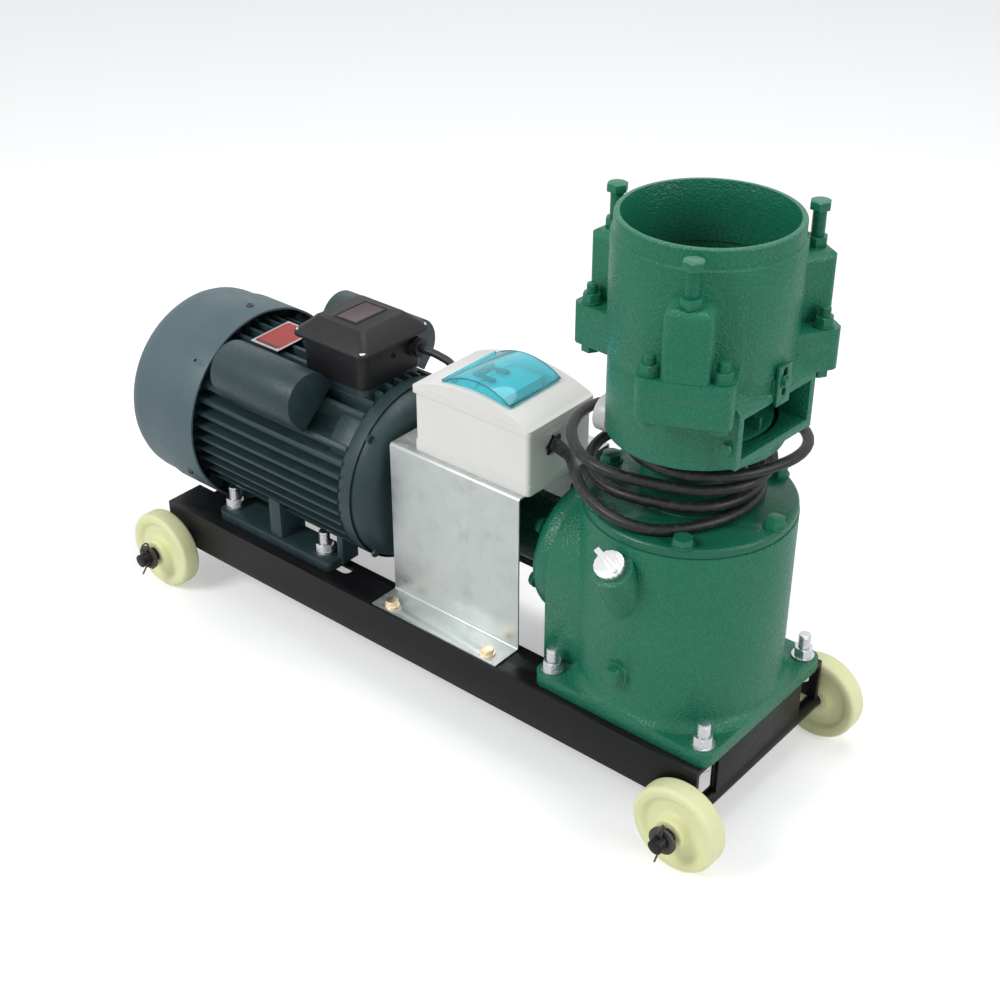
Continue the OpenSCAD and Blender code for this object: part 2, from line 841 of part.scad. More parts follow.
module front_shield() color(motor_grey) placed() at_shaft(-motor_face) {
  rotate_extrude() shield_outline();
  diagonals() intersection() {
    difference() {
      translate([shield_lug_r - shield_lug_d / 2, 0, 0])
        cylinder(d = shield_lug_d, h = shield_skirt);
      cylinder(d = fin_d - 2 * fin_t, h = 3 * shield_len, center = true);
    }
    cylinder(d = 2 * shield_lug_r + shield_lug_d / 2, h = shield_len);
  }
  diagonals() translate([shield_lug_r + shield_lug_d / 8, 0, shield_skirt])
    hex(shield_lug_d / 3, fin_t);
}
// Stepped cover, round end
module fan_cover_outline(in) polygon(concat(
  [[0, in], [0, fan_cover_len - in]],
  arc([fan_cover_d / 2 - cover_step - cover_round, fan_cover_len - cover_round],
    cover_round - in, 90, 0, 6),
  [[fan_cover_d / 2 - cover_step - in, cover_step_x + cover_step],
    [fan_cover_d / 2 - in, cover_step_x], [fan_cover_d / 2 - in, in > 0 ? -over : 0],
    [0, in > 0 ? -over : 0]]
));
module fan_cover() color(motor_grey) placed() translate([x_fan_cover, 0, z_shaft])
  rotate([0, -90, 0]) difference() {
    rotate_extrude() fan_cover_outline(0);
    rotate_extrude() fan_cover_outline(fan_cover_t);
    repeat(vents) for (r = vent_ring_rs)
      translate([r, 0, fan_cover_len - fan_cover_t - over])
        slot(vent_len, vent_w, fan_cover_t + 2 * over);
    diagonals() translate([fan_cover_d / 2, 0, fan_cover_lap + rear_shield_t / 2])
      rotate([0, 90, 0]) cylinder(d = fin_t, h = 4 * fan_cover_t, center = true);
  }
module motor_rotor() color(steel) placed() at_shaft(0) {
  up(stator_x) cylinder(d = stator_bore - 2 * rotor_gap, h = stator_len);
  up(x_rear_bearing + rear_bearing[1])
    cylinder(d = motor_shaft_d - 2 * fin_t, h = x_front_bearing - x_rear_bearing - rear_bearing[1]);
  up(fan_x) cylinder(d = motor_tail_d, h = x_rear_bearing + rear_bearing[1] + over - fan_x);
  up(x_front_bearing - over)
    cylinder(d = motor_end_d, h = x_motor_shaft_end - x_front_bearing + over);
}
module cooling_fan() color(black_plastic) placed() at_shaft(fan_x)
  difference() {
    union() {
      cylinder(d = fan_hub_d, h = fan_len);
      up(fan_len - fan_blade_t) cylinder(d = fan_disc_d, h = fan_blade_t);
      repeat(fan_blades) translate([0, -fan_blade_t / 2, over])
        cube([fan_d / 2, fan_blade_t, fan_len - 2 * over]);
    }
    bore(motor_tail_d + 2 * seat_gap, fan_len);
  }
// Half-round housing on a flat seat
module capacitor(side) on_capacitor_seat(side) up(capacitor_seat) difference() {
  rotate([90, 0, 90]) linear_extrude(capacitor_len) union() {
    translate([0, capacitor_depth]) circle(d = capacitor_d);
    translate([-capacitor_d / 2, 0]) square([capacitor_d, capacitor_depth]);
  }
  translate([-over, -capacitor_d, -capacitor_d])
    cube([capacitor_len + 2 * over, 2 * capacitor_d, capacitor_d]);
}
module capacitor_front() color(motor_grey) placed() capacitor(-1);
module capacitor_back() color(motor_grey) placed() capacitor(1);

// Terminal box, cable gland on its +X side
module terminal_box() color(black_plastic) placed() {
  translate([terminal_x, 0, terminal_z]) difference() {
    linear_extrude(terminal_h) round_rect(terminal_w, terminal_w, terminal_corner);
    up(terminal_wall) linear_extrude(terminal_h)
      round_rect(terminal_w - 2 * terminal_wall, terminal_w - 2 * terminal_wall,
        terminal_corner - terminal_wall);
    translate([0, gland_y, gland_z - terminal_z])
      along_x() cylinder(d = motor_cable_d, h = terminal_w);
  }
  translate([terminal_x + terminal_w / 2, gland_y, gland_z]) along_x() {
    tube(gland_d, motor_cable_d, gland_len);
    intersection() {
      tube(2 * gland_d, motor_cable_d, gland_len / 2);
      hex(gland_d + terminal_wall, gland_len / 2);
    }
  }
}
module terminal_cover() color(black_plastic) placed()
  translate([terminal_x, 0, terminal_z + terminal_h]) {
    hull() {
      linear_extrude(terminal_lip)
        round_rect(terminal_cover_w, terminal_cover_w, terminal_corner, $fn = 32);
      up(terminal_lip + terminal_roof_h) linear_extrude(over)
        round_rect(terminal_cover_w * terminal_roof_share,
          terminal_cover_w * terminal_roof_share, terminal_corner / 2, $fn = 32);
    }
    up(terminal_lip + terminal_roof_h + over) linear_extrude(terminal_window_h) difference() {
        square([terminal_window[1], terminal_window[0]] + fin_t * [1, 1], center = true);
        square([terminal_window[1], terminal_window[0]], center = true);
      }
  }
module lifting_eye() color(steel) placed() translate([eye_x, 0, 0]) {
  up(z_shaft + eye_boss_top)
    cylinder(d1 = eye_collar[0], d2 = eye_stem_d, h = eye_collar[1], $fn = 48);
  up(z_shaft + eye_boss_top) cylinder(d = eye_wire, h = eye_z - eye_r - z_shaft - eye_boss_top);
  up(eye_z)
    along_x() rotate_extrude() translate([eye_r, 0]) circle(d = eye_wire, $fn = 32);
}
// Studs of the motor and the gearbox
module frame_studs() color(zinc) placed() {
  for (i = [0, 1], side = [-1, 1])
    translate([foot_bolt_x + i * foot_bolts_x, side * foot_bolts_y / 2, 0])
      clamp_stud(foot_t, foot_bolt_d);
  at_base_studs(0)
      clamp_stud(base_t, m12_d);
}
// Stud through a plate t thick
module clamp_stud(t, d) {
  up(rail_top + t)
    stud_top(d - 2 * seat_gap, stud_af, stud_washer, stud_nut_h, base_stud_top);
  up(rail_top - angle_t) cylinder(d = d - 2 * seat_gap, h = angle_t + t);
  up(rail_top - angle_t - m12_head) hex(stud_af, m12_head);
}

// Hat section of the bracket
module bracket_section() {
  half = bracket_w / 2;
  out = bracket_bend;
  in = bracket_bend - bracket_t;
  polygon(concat(
    [[-bracket_foot_y, 0]], arc([-half - out + bracket_t, out], out, -90, 0),
    arc([-half + bracket_t + in, bracket_h - out], in, 180, 90),
    arc([half - bracket_t - in, bracket_h - out], in, 90, 0),
    arc([half + out - bracket_t, out], out, 180, 270),
    [[bracket_foot_y, 0], [bracket_foot_y, bracket_t]],
    arc([half + out - bracket_t, out], in, 270, 180),
    arc([half - out, bracket_h - out], out, 0, 90),
    arc([-half + out, bracket_h - out], out, 90, 180),
    arc([-half - out + bracket_t, out], in, 0, -90),
    [[-bracket_foot_y, bracket_t]]
  ));
}
module bracket() color(zinc) placed() difference() {
  translate([x_bracket, 0, rail_top])
    rotate([90, 0, 90]) linear_extrude(bracket_len) bracket_section();
  at_bracket_bolts(rail_top - over) cylinder(d = bracket_bolt_d, h = bracket_t + 2 * over);
}
module bracket_bolts() color(yellow_zinc) placed()
  at_bracket_bolts(rail_top) {
      up(bracket_t) {
        cylinder(d = bracket_washer[0], h = bracket_washer[1]);
        up(bracket_washer[1]) hex_turned(bracket_bolt_af, bracket_bolt_head);
      }
      up(-angle_t - bracket_nut) {
        cylinder(d = bracket_bolt_d - 2 * seat_gap, h = angle_t + bracket_nut + bracket_t);
        hex(bracket_bolt_af, bracket_nut);
      }
    }

z_box = rail_top + bracket_h;
z_box_top = z_box + box_h;
z_arch = z_box_top + box_lip_h;
// Base with the lead's knock-out
module breaker_base() color(white_plastic) placed() difference() {
  translate([box_x, box_y, z_box]) difference() {
    union() {
      linear_extrude(box_band_h) round_rect(box_len, box_depth, box_corner);
      linear_extrude(box_h)
        round_rect(box_len - 2 * box_band_past, box_depth - 2 * box_band_past, box_corner);
    }
    up(box_wall) linear_extrude(box_h) round_rect(box_len - 2 * box_band_past - 2 * box_wall,
        box_depth - 2 * box_band_past - 2 * box_wall, box_corner - box_wall);
  }
  translate([box_x, exit_y, exit_z]) {
    along_x() cylinder(d = exit_d, h = box_len);
    for (turn = [0, 90]) rotate([turn, 0, 0])
        translate([0, -exit_notch_w / 2, -exit_d / 2 - exit_notch_past])
          cube([box_len, exit_notch_w, exit_d + 2 * exit_notch_past]);
  }
  motor_cable_hole();
}
// Circle segment with chord w and rise h, chord on y = 0
module segment(w, h) {
  r = (w * w / 4 + h * h) / (2 * h);
  intersection() {
    translate([0, h - r]) circle(r, $fn = 160);
    translate([-w, 0]) square([2 * w, 2 * h]);
  }
}
// Arched cover over a flat lip
module breaker_cover() color(white_plastic) placed()
  translate([box_x, box_y, z_box_top]) difference() {
    union() {
      linear_extrude(box_lip_h)
        round_rect(box_len + 2 * box_lip_past, box_depth + 2 * box_lip_past, box_corner);
      translate([0, box_depth / 2, box_lip_h]) rotate([90, 0, 0]) linear_extrude(box_depth)
          segment(box_len, box_arch_h);
    }
    up(-over) linear_extrude(box_lip_h + over)
      round_rect(box_len - 6 * box_wall, box_depth - 4 * box_wall, box_corner - box_wall);
    translate([lid_x - box_x, lid_y - box_y, -over]) linear_extrude(2 * box_h)
      square([lid_len - 2 * window_inset, lid_depth - 2 * window_inset], center = true);
    translate([lid_x - box_x - lid_len / 2, lid_y - box_y, z_hinge - z_box_top])
      rotate([90, 0, 0]) cylinder(d = hinge_d + 2 * hinge_gap, h = lid_depth + 2 * hinge_gap,
        center = true);
  }
arch_r = (box_len * box_len / 4 + box_arch_h * box_arch_h) / (2 * box_arch_h);
// Height of the arch at x from its middle
function arch_z(x) = z_arch + box_arch_h - arch_r + sqrt(arch_r * arch_r - x * x);
z_hinge = arch_z(lid_x - box_x - lid_len / 2) + lid_low;
// Clear curved lid with its hinge
module breaker_lid() color(clear_blue) placed() translate([lid_x, lid_y, z_hinge]) difference() {
  union() {
    difference() {
      rotate([90, 0, 0]) linear_extrude(lid_depth, center = true)
        segment(lid_len, lid_arch_h);
      rotate([90, 0, 0]) linear_extrude(lid_depth - 2 * lid_wall, center = true)
        translate([0, -over]) segment(lid_len - 3 * lid_wall, lid_arch_h - lid_wall + over);
    }
    translate([-lid_len / 2, 0, 0])
      rotate([90, 0, 0]) cylinder(d = hinge_d, h = lid_depth, center = true);
  }
  translate([box_x - lid_x, 0, z_arch + box_arch_h - arch_r - z_hinge]) rotate([90, 0, 0])
    cylinder(r = arch_r + slide_gap, h = lid_depth + 2 * over, center = true, $fn = 360);
}
z_deck = arch_z(toggle_x - box_x) - 2 * over;
// Breaker with a toggle slot
module breaker_block() color(white_plastic) placed() difference() {
  union() {
    translate([lid_x - breaker_w / 2 - toggle_t, breaker_front_y, z_box + box_wall])
      cube([breaker_w + 2 * toggle_t, breaker_len, z_box_top - z_box - box_wall]);
    translate([lid_x - breaker_w / 2 - toggle_t, breaker_front_y, z_box_top])
      cube([breaker_w + toggle_t / 2, breaker_len, z_deck - breaker_deck / 3 - z_box_top]);
    translate([toggle_x - toggle_pivot_d - over, breaker_front_y, z_box_top])
      cube([2 * toggle_pivot_d + 2 * over, breaker_len, z_deck - z_box_top]);
  }
  translate([toggle_x, breaker_front_y + breaker_len / 2 + toggle_w / 2 + slide_gap,
    z_deck - toggle_pivot_d / 2 - over])
    rotate([90, 0, 0]) linear_extrude(toggle_w + 2 * slide_gap) {
      circle(d = toggle_pivot_d + 2 * slide_gap);
      translate([-toggle_pivot_d / 2 - slide_gap, 0])
        square([toggle_pivot_d + 2 * slide_gap, toggle_pivot_d]);
    }
}
// Toggle, tilted to off
module breaker_toggle() color("navy") placed()
  translate([toggle_x, breaker_front_y + breaker_len / 2, z_deck - toggle_pivot_d / 2 - over]) {
    along_y() cylinder(d = toggle_pivot_d, h = toggle_w, center = true);
    rotate([0, -toggle_tilt, 0]) translate([-toggle_t / 2, -toggle_w / 2, 0])
        cube([toggle_t, toggle_w, toggle_reach]);
  }

// Input boss with a half-round top
module arch_boss() translate([-boss_x, 0, z_shaft]) rotate([90, 0, 90]) linear_extrude(boss_x) union() {
  circle(d = arch_w);
  translate([-arch_w / 2, rail_top - z_shaft]) square([arch_w, z_shaft - rail_top]);
}
module gearbox_housing() color(green) placed() difference() {
  union() {
    up(rail_top) linear_extrude(base_t) round_rect(base_w, base_w, base_corner);
    // fillet between body and base
    intersection() {
      up(z_base) rotate_extrude() polygon(concat(
        [[0, 0]],
        arc([body_d / 2 + base_fillet, base_fillet], base_fillet, -90, -180, 6),
        [[0, base_fillet]]));
      up(z_base) linear_extrude(base_fillet) round_rect(base_w, base_w, base_corner);
    }
    up(rail_top) cylinder(d = body_d, h = body_h);
    arch_boss();
    translate(filler_at) rotate([filler_tilt, 0, 0]) up(-filler_boss_len)
      cylinder(d = filler_boss_d, h = filler_boss_len);
    translate([drain_at[0], -drain_boss_y, drain_at[1]])
      along_y() cylinder(d = drain_boss_d, h = drain_boss_y - body_d / 4);
  }
  // gear space around seat and bosses
  difference() {
    up(rail_top + floor_z) cylinder(d = body_d - 2 * body_wall, h = body_h);
    up(rail_top) cylinder(d = seat_d, h = floor_z + seat_h);
    at_cover_bolts(z_body - bolt_boss_h) cylinder(d = bolt_boss_d, h = body_h);
  }
  up(z_seat - main_seat_x) cylinder(d = main_bearing[0], h = main_seat_x + over);
  at_shaft(-boss_x - over) cylinder(d = cap_bore_d, h = boss_x - body_d / 4);
  at_cover_bolts(z_body - bolt_boss_h + 2 * over) cylinder(d = m12_d, h = bolt_boss_h);
  at_cap_bolts(-boss_x - over)
    along_x() cylinder(d = m10_d, h = body_wall + over);
  at_base_studs(rail_top - over) cylinder(d = m12_d, h = base_t + base_fillet + 2 * over);
  translate(filler_at) rotate([filler_tilt, 0, 0]) up(-filler_boss_len)
    cylinder(d = filler_stem[0] + 2 * run_gap, h = filler_boss_len + over);
  translate([drain_at[0], -drain_boss_y - over, drain_at[1]])
    along_y() cylinder(d = drain_stem[0], h = 2 * filler_stem[1]);
}
// Cover plate with its neck
module gearbox_cover() color(green) placed() up(z_body) difference() {
  rotate_extrude() polygon(concat(
    [[0, 0], [body_d / 2 - over, 0], [body_d / 2 - over, cover_t - cover_edge],
      [body_d / 2 - over - cover_edge, cover_t], [neck_foot_d / 2, cover_t]],
    arc([neck_foot_d / 2, cover_t + (neck_foot_d - neck_d) / 2], (neck_foot_d - neck_d) / 2,
      -90, -180, 4),
    [[neck_d / 2, cover_t + neck_h - 2 * neck_flange_t],
      [neck_flange_d / 2, cover_t + neck_h - neck_flange_t],
      [neck_flange_d / 2, cover_t + neck_h], [0, cover_t + neck_h]]));
  bore(neck_bore, cover_t + neck_h);
  up(-over) cylinder(d = main_bearing[0], h = main_bearing[1] + over);
  up(cover_t + neck_h - main_bearing[1]) cylinder(d = main_bearing[0], h = main_bearing[1] + over);
  at_cover_bolts(-over) cylinder(d = m12_d, h = cover_t + 2 * over);
  at_floor_bolts(cover_t + neck_h - neck_flange_t - cover_edge)
        cylinder(d = m10_d, h = neck_flange_t + cover_edge + over);
}
// Hexagon screw, head standing on z = 0
module screw(d, af, head, len) {
  cylinder(d = af * screw_washer_share[0], h = head * screw_washer_share[1]);
  up(head * screw_washer_share[1]) hex_turned(af, head * (1 - screw_washer_share[1]));
  up(-len) cylinder(d = d - 2 * seat_gap, h = len);
}
// Screws and studs of gearbox and chamber
module housing_bolts() color(green) placed() {
  at_cover_bolts(z_cover) screw(m12_d, m12_af, m12_head, cover_t + bolt_boss_h / 2);
  at_cap_bolts(-boss_x - cap_len)
    rotate([0, -90, 0]) screw(m10_d, m10_af, m10_head, cap_len + body_wall / 2);
  at_floor_bolts(z_floor + floor_t - m12_head)
        screw(m10_d, m10_af - over, m10_head, neck_flange_t);
  in_chamber() {
    for (a = tower_angles, s = [-1, 1]) rotate(a) translate([lug_stud_r, s * lug_studs / 2, 0]) {
        up(z_seam + lug_up)
          stud_top(lug_stud_d - 2 * seat_gap, lug_nut[0], lug_washer, lug_nut[1], lug_stud_top);
        up(z_seam - lug_down) cylinder(d = lug_stud_d - 2 * seat_gap, h = lug_down + lug_up);
        up(z_seam - lug_down - lug_nut[1]) hex(lug_nut[0], lug_nut[1]);
      }
    at_towers() translate([adjust_r, 0, z_seam + tower_h]) difference() {
        hex_turned(lock_nut[0], lock_nut[1]);
        bore(adjust_bolt_d + 2 * run_gap, lock_nut[1]);
      }
    for (s = [-1, 1])
      translate([(chute_in + chute_reach) / 2 + chute_wall, s * chute_w / 2, z_floor + chute_bolt_z])
        rotate([-s * 90, 0, 0]) screw(plate_bolt[0], plate_bolt[1], plate_bolt[2], chute_wall / 2);
    translate([chute_reach + plate_gap + plate_t + plate_gap, plate_s, z_floor + plate_bolt_z])
      along_x() screw(plate_bolt[0], plate_bolt[1], plate_bolt[2], plate_t + chute_wall);
  }
}
// Cap with a spigot
module input_cap() color(green) placed() translate([-boss_x, 0, z_shaft]) rotate([0, -90, 0])
  difference() {
    union() {
      rotate_extrude() polygon(concat(
        [[0, 0], [input_cap_d / 2, 0], [input_cap_d / 2, cap_flange_t]],
        arc([cap_face_d / 2, cap_len - cap_round], cap_round, 0, 90, 5),
        [[0, cap_len]]));
      up(-cap_spigot) cylinder(d = cap_bore_d - 2 * seat_gap, h = cap_spigot);
    }
    up(-cap_spigot - over) cylinder(d = input_bearing[0], h = input_bearing[1] + over);
    up(-cap_spigot - over)
      cylinder(d = input_shoulder_d + 4 * over, h = cap_spigot + cap_len + 2 * over);
    for (i = [0:5]) rotate(90 - cap_bolt_turn - i * 60) translate([cap_bolts_d / 2, 0, -over])
        cylinder(d = m10_d, h = cap_len + 2 * over);
  }
// Carries the outer input bearing
module input_sleeve() color([0.03, 0.3, 0.2]) placed() translate([-boss_x - cap_len, 0, z_shaft])
  rotate([0, -90, 0]) difference() {
    union() {
      cylinder(d = sleeve_d, h = -sleeve_x - boss_x - cap_len);
      cylinder(d = sleeve_foot_d, h = sleeve_foot_t);
    }
    up(-over) cylinder(d = input_shoulder_d + 4 * over, h = -sleeve_x);
    up(-sleeve_x - boss_x - cap_len - sleeve_bearing[1])
      cylinder(d = sleeve_bore, h = sleeve_bearing[1] + over);
  }

// Hub with three jaws
module coupling_half(bore) difference() {
  union() {
    cylinder(d = coupling_d, h = coupling_hub);
    repeat(coupling_jaws) intersection() {
      up(coupling_hub / 2) tube(coupling_d - 2 * slide_gap, coupling_d * coupling_jaw_share,
          coupling_hub / 2 + coupling_jaw - slide_gap);
      linear_extrude(coupling_hub + coupling_jaw) polygon([[0, 0],
        coupling_d * [1, tan(jaw_half)], coupling_d * [1, -tan(jaw_half)]]);
    }
  }
  up(-over) cylinder(d = bore + 2 * seat_gap, h = 2 * coupling_hub);
}
module coupling_halves() color(steel) placed() at_shaft(coupling_x) {
  coupling_half(motor_end_d);
  up(2 * coupling_hub + coupling_jaw)
    rotate([180, 0, 0]) rotate(180 / coupling_jaws) coupling_half(input_shaft_d);
}
// Star of six pads between the jaws
module coupling_spider() color("firebrick") placed() at_shaft(coupling_x + coupling_hub + seat_gap)
    linear_extrude(coupling_jaw - 2 * seat_gap) difference() {
      union() {
        circle(d = coupling_d * coupling_jaw_share - 2 * slide_gap);
        intersection() {
          circle(d = coupling_d - 2 * slide_gap);
          for (i = [0:2 * coupling_jaws - 1])
            rotate(180 / coupling_jaws * (i + 0.5)) polygon([[0, 0],
              coupling_d * [1, tan(pad_half)], coupling_d * [1, -tan(pad_half)]]);
        }
      }
      circle(d = input_shaft_d);
    }

// Bevel tooth ring cut by a plane at unit distance from the apex
function tooth_points(n, root, tip, halves, phase) = [
  for (i = [0:n - 1], k = [-2, -1, 1, 2])
    let (a = phase + i * 360 / n
      + (abs(k) == 2 ? halves[0] : halves[1]) * sign(k), r = abs(k) == 2 ? root : tip)
      r * [cos(a), sin(a)]
];
module bevel_teeth(n, root, tip, halves, phase, depth)
  linear_extrude(depth[0] - depth[1], scale = depth[1] / depth[0])
    scale(depth[0]) polygon(tooth_points(n, root, tip, halves, phase));
module crown_gear() color(steel) placed() difference() {
  union() {
    intersection() {
      up(z_shaft - crown_depth[0])
        bevel_teeth(crown_teeth, crown_root_tan, crown_tip_tan, crown_tooth_share, 0, crown_depth);
      up(z_shaft - crown_depth[0]) tube(crown_cut_d, crown_in_d, crown_depth[0]);
    }
    up(z_shaft - crown_depth[0] - crown_blank_t) cylinder(d = crown_cut_d, h = crown_blank_t);
    up(z_shaft - crown_depth[0] - crown_blank_t - crown_hub[1] / 2)
      cylinder(d = crown_hub[0], h = crown_hub[1] + crown_blank_t / 2);
  }
  up(z_base) cylinder(d = main_shaft_d + 2 * seat_gap, h = shaft_height);
}
module pinion_shaft() color(steel) placed() {
  translate([-pinion_depth[0], 0, z_shaft]) along_x()
    bevel_teeth(pinion_teeth, pinion_root_tan, pinion_tip_tan, pinion_tooth_share,
      180 / pinion_teeth, pinion_depth);
  translate([-pinion_depth[0] - pinion_back[1], 0, z_shaft]) along_x()
    cylinder(d = pinion_back[0], h = pinion_back[1]);
  at_shaft(coupling_x + coupling_hub + coupling_jaw) cylinder(d = input_shaft_d,
      h = -coupling_x - coupling_hub - coupling_jaw - pinion_depth[0]);
  translate([sleeve_x + sleeve_bearing[1], 0, z_shaft]) along_x() cylinder(d = input_shoulder_d,
      h = -sleeve_x - sleeve_bearing[1] - boss_x + cap_spigot - input_bearing[1]);
}
module main_shaft() color(steel) placed() {
  up(z_seat - main_seat_x + over)
    cylinder(d = main_shaft_d, h = z_die - z_seat + main_seat_x - over);
  up(z_seat + slide_gap)
    cylinder(d = main_shaft_d + cap_round, h = z_shaft - crown_depth[0] - crown_blank_t
      - crown_hub[1] / 2 - z_seat - slide_gap);
  up(z_die) cylinder(d = thread_d, h = axle_nut[1] + over);
  up(z_die) hex_turned(axle_nut[0], axle_nut[1]);
}
// Two rings and the balls
module bearing(od, id, w) {
  tube(od - 2 * seat_gap, od - (od - id) * 0.3, w);
  tube(id + (od - id) * 0.3, id + 2 * run_gap, w);
  balls = floor(PI * (od + id) / 2 / ((od - id) * 0.29));
  up(w / 2)
    repeat(balls) translate([(od + id) / 4, 0, 0])
      sphere(d = (od - id) * 0.22, $fn = 16);
  up(w / 2 - over / 2) tube(od - (od - id) * 0.29, id + (od - id) * 0.29, over);
}
module bearings() color(steel) placed() {
  for (z = [z_seat - main_seat_x, z_body, z_floor - main_bearing[1]]) up(z)
      bearing(main_bearing[0], main_shaft_d, main_bearing[1]);
  translate([-boss_x + cap_spigot - input_bearing[1], 0, z_shaft]) along_x()
    bearing(input_bearing[0], input_shaft_d, input_bearing[1]);
  at_shaft(sleeve_x) bearing(sleeve_bearing[0], input_shaft_d, sleeve_bearing[1]);
  at_shaft(x_rear_bearing) bearing(rear_bearing[0], motor_tail_d, rear_bearing[1]);
  at_shaft(x_front_bearing) bearing(front_bearing[0], motor_end_d, front_bearing[1]);
}
// Knurled filler cap with a wing
module filler_cap() color(zinc) placed() translate(filler_at) rotate([filler_tilt, 0, 0]) {
  difference() {
    cylinder(d = filler_cap_d, h = filler_cap_h);
    repeat(filler_knurls) translate([filler_cap_d / 2 + over / 2, 0, -over])
      cylinder(d = 2 * over, h = filler_cap_h + 2 * over, $fn = 16);
  }
  up(-filler_stem[1]) cylinder(d = filler_stem[0], h = filler_stem[1]);
  rotate(filler_wing_turn)
    translate([-filler_wing[0] * filler_wing_share, -filler_wing[1] / 2, filler_cap_h - over])
    cube([filler_wing[0], filler_wing[1], filler_wing[2] / 2]);
}
module drain_plug() color(green) placed()
  translate([drain_at[0], -drain_boss_y, drain_at[1]]) rotate([90, 0, 0]) {
    cylinder(d = drain_head[0] * 1.3, h = over);
    up(over) hex_turned(drain_head[0], drain_head[1]);
    up(-drain_stem[1]) cylinder(d = drain_stem[0] - 2 * seat_gap, h = drain_stem[1]);
  }

// Plan of the three clamping lugs
module lugs_plan() at_towers() intersection() {
  translate([0, -lug_w / 2]) square([lug_reach, lug_w]);
  union() {
    translate([lug_in, -lug_w / 2]) square([lug_reach - lug_in - lug_corner, lug_w]);
    translate([lug_in, -lug_w / 2 + lug_corner])
      square([lug_reach - lug_in, lug_w - 2 * lug_corner]);
    for (s = [-1, 1])
      translate([lug_reach - lug_corner, s * (lug_w / 2 - lug_corner)]) circle(lug_corner);
  }
}
// Tower with rounded edges
module tower(h) up(z_seam + tower_h - h) intersection() {
  rotate([90, 0, 90]) linear_extrude(tower_reach) union() {
    translate([-tower_w / 2, 0]) square([tower_w, h - tower_round]);
    translate([-tower_w / 2 + tower_round, 0]) square([tower_w - 2 * tower_round, h]);
    for (s = [-1, 1])
      translate([s * (tower_w / 2 - tower_round), h - tower_round]) circle(tower_round);
  }
  linear_extrude(h)
    translate([tower_reach / 2, 0]) round_rect(tower_reach, tower_w, tower_edge);
  rotate([90, 0, 0]) linear_extrude(tower_w, center = true) union() {
    square([tower_reach, h - tower_edge]);
    square([tower_reach - tower_edge, h]);
    translate([tower_reach - tower_edge, h - tower_edge]) circle(tower_edge);
  }
}
module lug_holes(z, h)
  for (s = [-1, 1]) translate([lug_stud_r, s * lug_studs / 2, z]) cylinder(d = lug_stud_d, h = h);
z_chute = z_floor + chute_floor_z;
module lower_housing() color(green) placed() in_chamber() difference() {
  union() {
    up(z_floor) cylinder(d = housing_d, h = housing_h);
    up(z_seam - lug_down) linear_extrude(lug_down) lugs_plan();
    translate([0, -chute_w / 2, z_chute]) cube([chute_reach, chute_w, chute_h]);
    // sloped roof of the chute
    translate([0, plate_pad_s[0], z_chute])
      cube([chute_reach, plate_pad_s[1] - plate_pad_s[0], z_seam - z_chute]);
    translate([0, chute_w / 2, z_chute + chute_h]) rotate([90, 0, 0]) linear_extrude(chute_w)
      polygon([[0, 0], [chute_reach, 0], [housing_d / 4 + chute_in / 2, z_seam - z_chute - chute_h],
        [0, z_seam - z_chute - chute_h]]);
  }
  up(z_floor + floor_t) cylinder(d = housing_bore, h = housing_h);
  up(z_floor - over) cylinder(d = main_shaft_d + floor_t, h = housing_h);
  translate([0, -chute_w / 2 + chute_wall, z_chute + chute_floor])
    cube([chute_reach + over, chute_w - 2 * chute_wall, chute_h - chute_floor - chute_roof]);
  at_towers() lug_holes(z_seam - lug_down - over, lug_down + 2 * over);
  rotate(chamber_turn)
    at_floor_bolts(z_floor - over) {
        cylinder(d = m10_d, h = floor_t + 2 * over);
        up(over + floor_t - m12_head) cylinder(d = m12_af, h = m12_head + over);
      }
  translate([chute_reach - chute_wall - over, plate_s, z_floor + plate_bolt_z])
    along_x() cylinder(d = plate_bolt[0], h = 2 * chute_wall);
  for (s = [-1, 1])
    translate([(chute_in + chute_reach) / 2 + chute_wall, s * (chute_w / 2 + over), z_floor + chute_bolt_z])
      rotate([s * 90, 0, 0]) cylinder(d = plate_bolt[0], h = chute_wall / 2 + over);
}
module hopper() color(green) placed() in_chamber() difference() {
  union() {
    rotate_extrude() polygon(concat(
      [[0, z_seam], [hopper_d / 2, z_seam], [hopper_d / 2, z_ridge - over],
        [rim_d / 2, z_ridge + over / 2], [rim_d / 2, z_rim - rim_round]],
      arc([rim_d / 2 - rim_round, z_rim - rim_round], rim_round, 0, 90, 4),
      [[0, z_rim]]));
    up(z_seam) linear_extrude(lug_up) lugs_plan();
    at_towers() tower(tower_h - over);
  }
  up(z_seam - over) cylinder(d = hopper_bore, h = z_rim - z_seam + 2 * over);
  up(z_seam - over)
    cylinder(d = hopper_bore + 2 * hopper_relief, h = z_rim - mouth_depth - z_seam + over);
  at_towers() {
    lug_holes(z_seam - over, lug_up + 2 * over);
    translate([slot_in, -slot_w / 2, z_seam - over])
      cube([slot_out - slot_in, slot_w, slot_h + over]);
    translate([adjust_r, 0, z_seam]) cylinder(d = adjust_bolt_d + 2 * run_gap, h = tower_h + over);
  }
}
module die() color(steel) placed() difference() {
  union() {
    up(z_die - die_t) cylinder(d = die_d, h = die_t);
    up(z_die - die_t - die_hub[1]) cylinder(d = die_hub[0], h = die_t);
  }
  up(z_floor) cylinder(d = main_shaft_d + 2 * seat_gap, h = housing_h);
  for (ring = [0:len(die_rings) - 1], i = [0:die_ring_holes[ring] - 1])
    rotate((i + ring / 2) * 360 / die_ring_holes[ring])
      translate([die_rings[ring], 0, z_die - die_t - over])
        cylinder(d = die_hole_d, h = die_t + 2 * over);
}
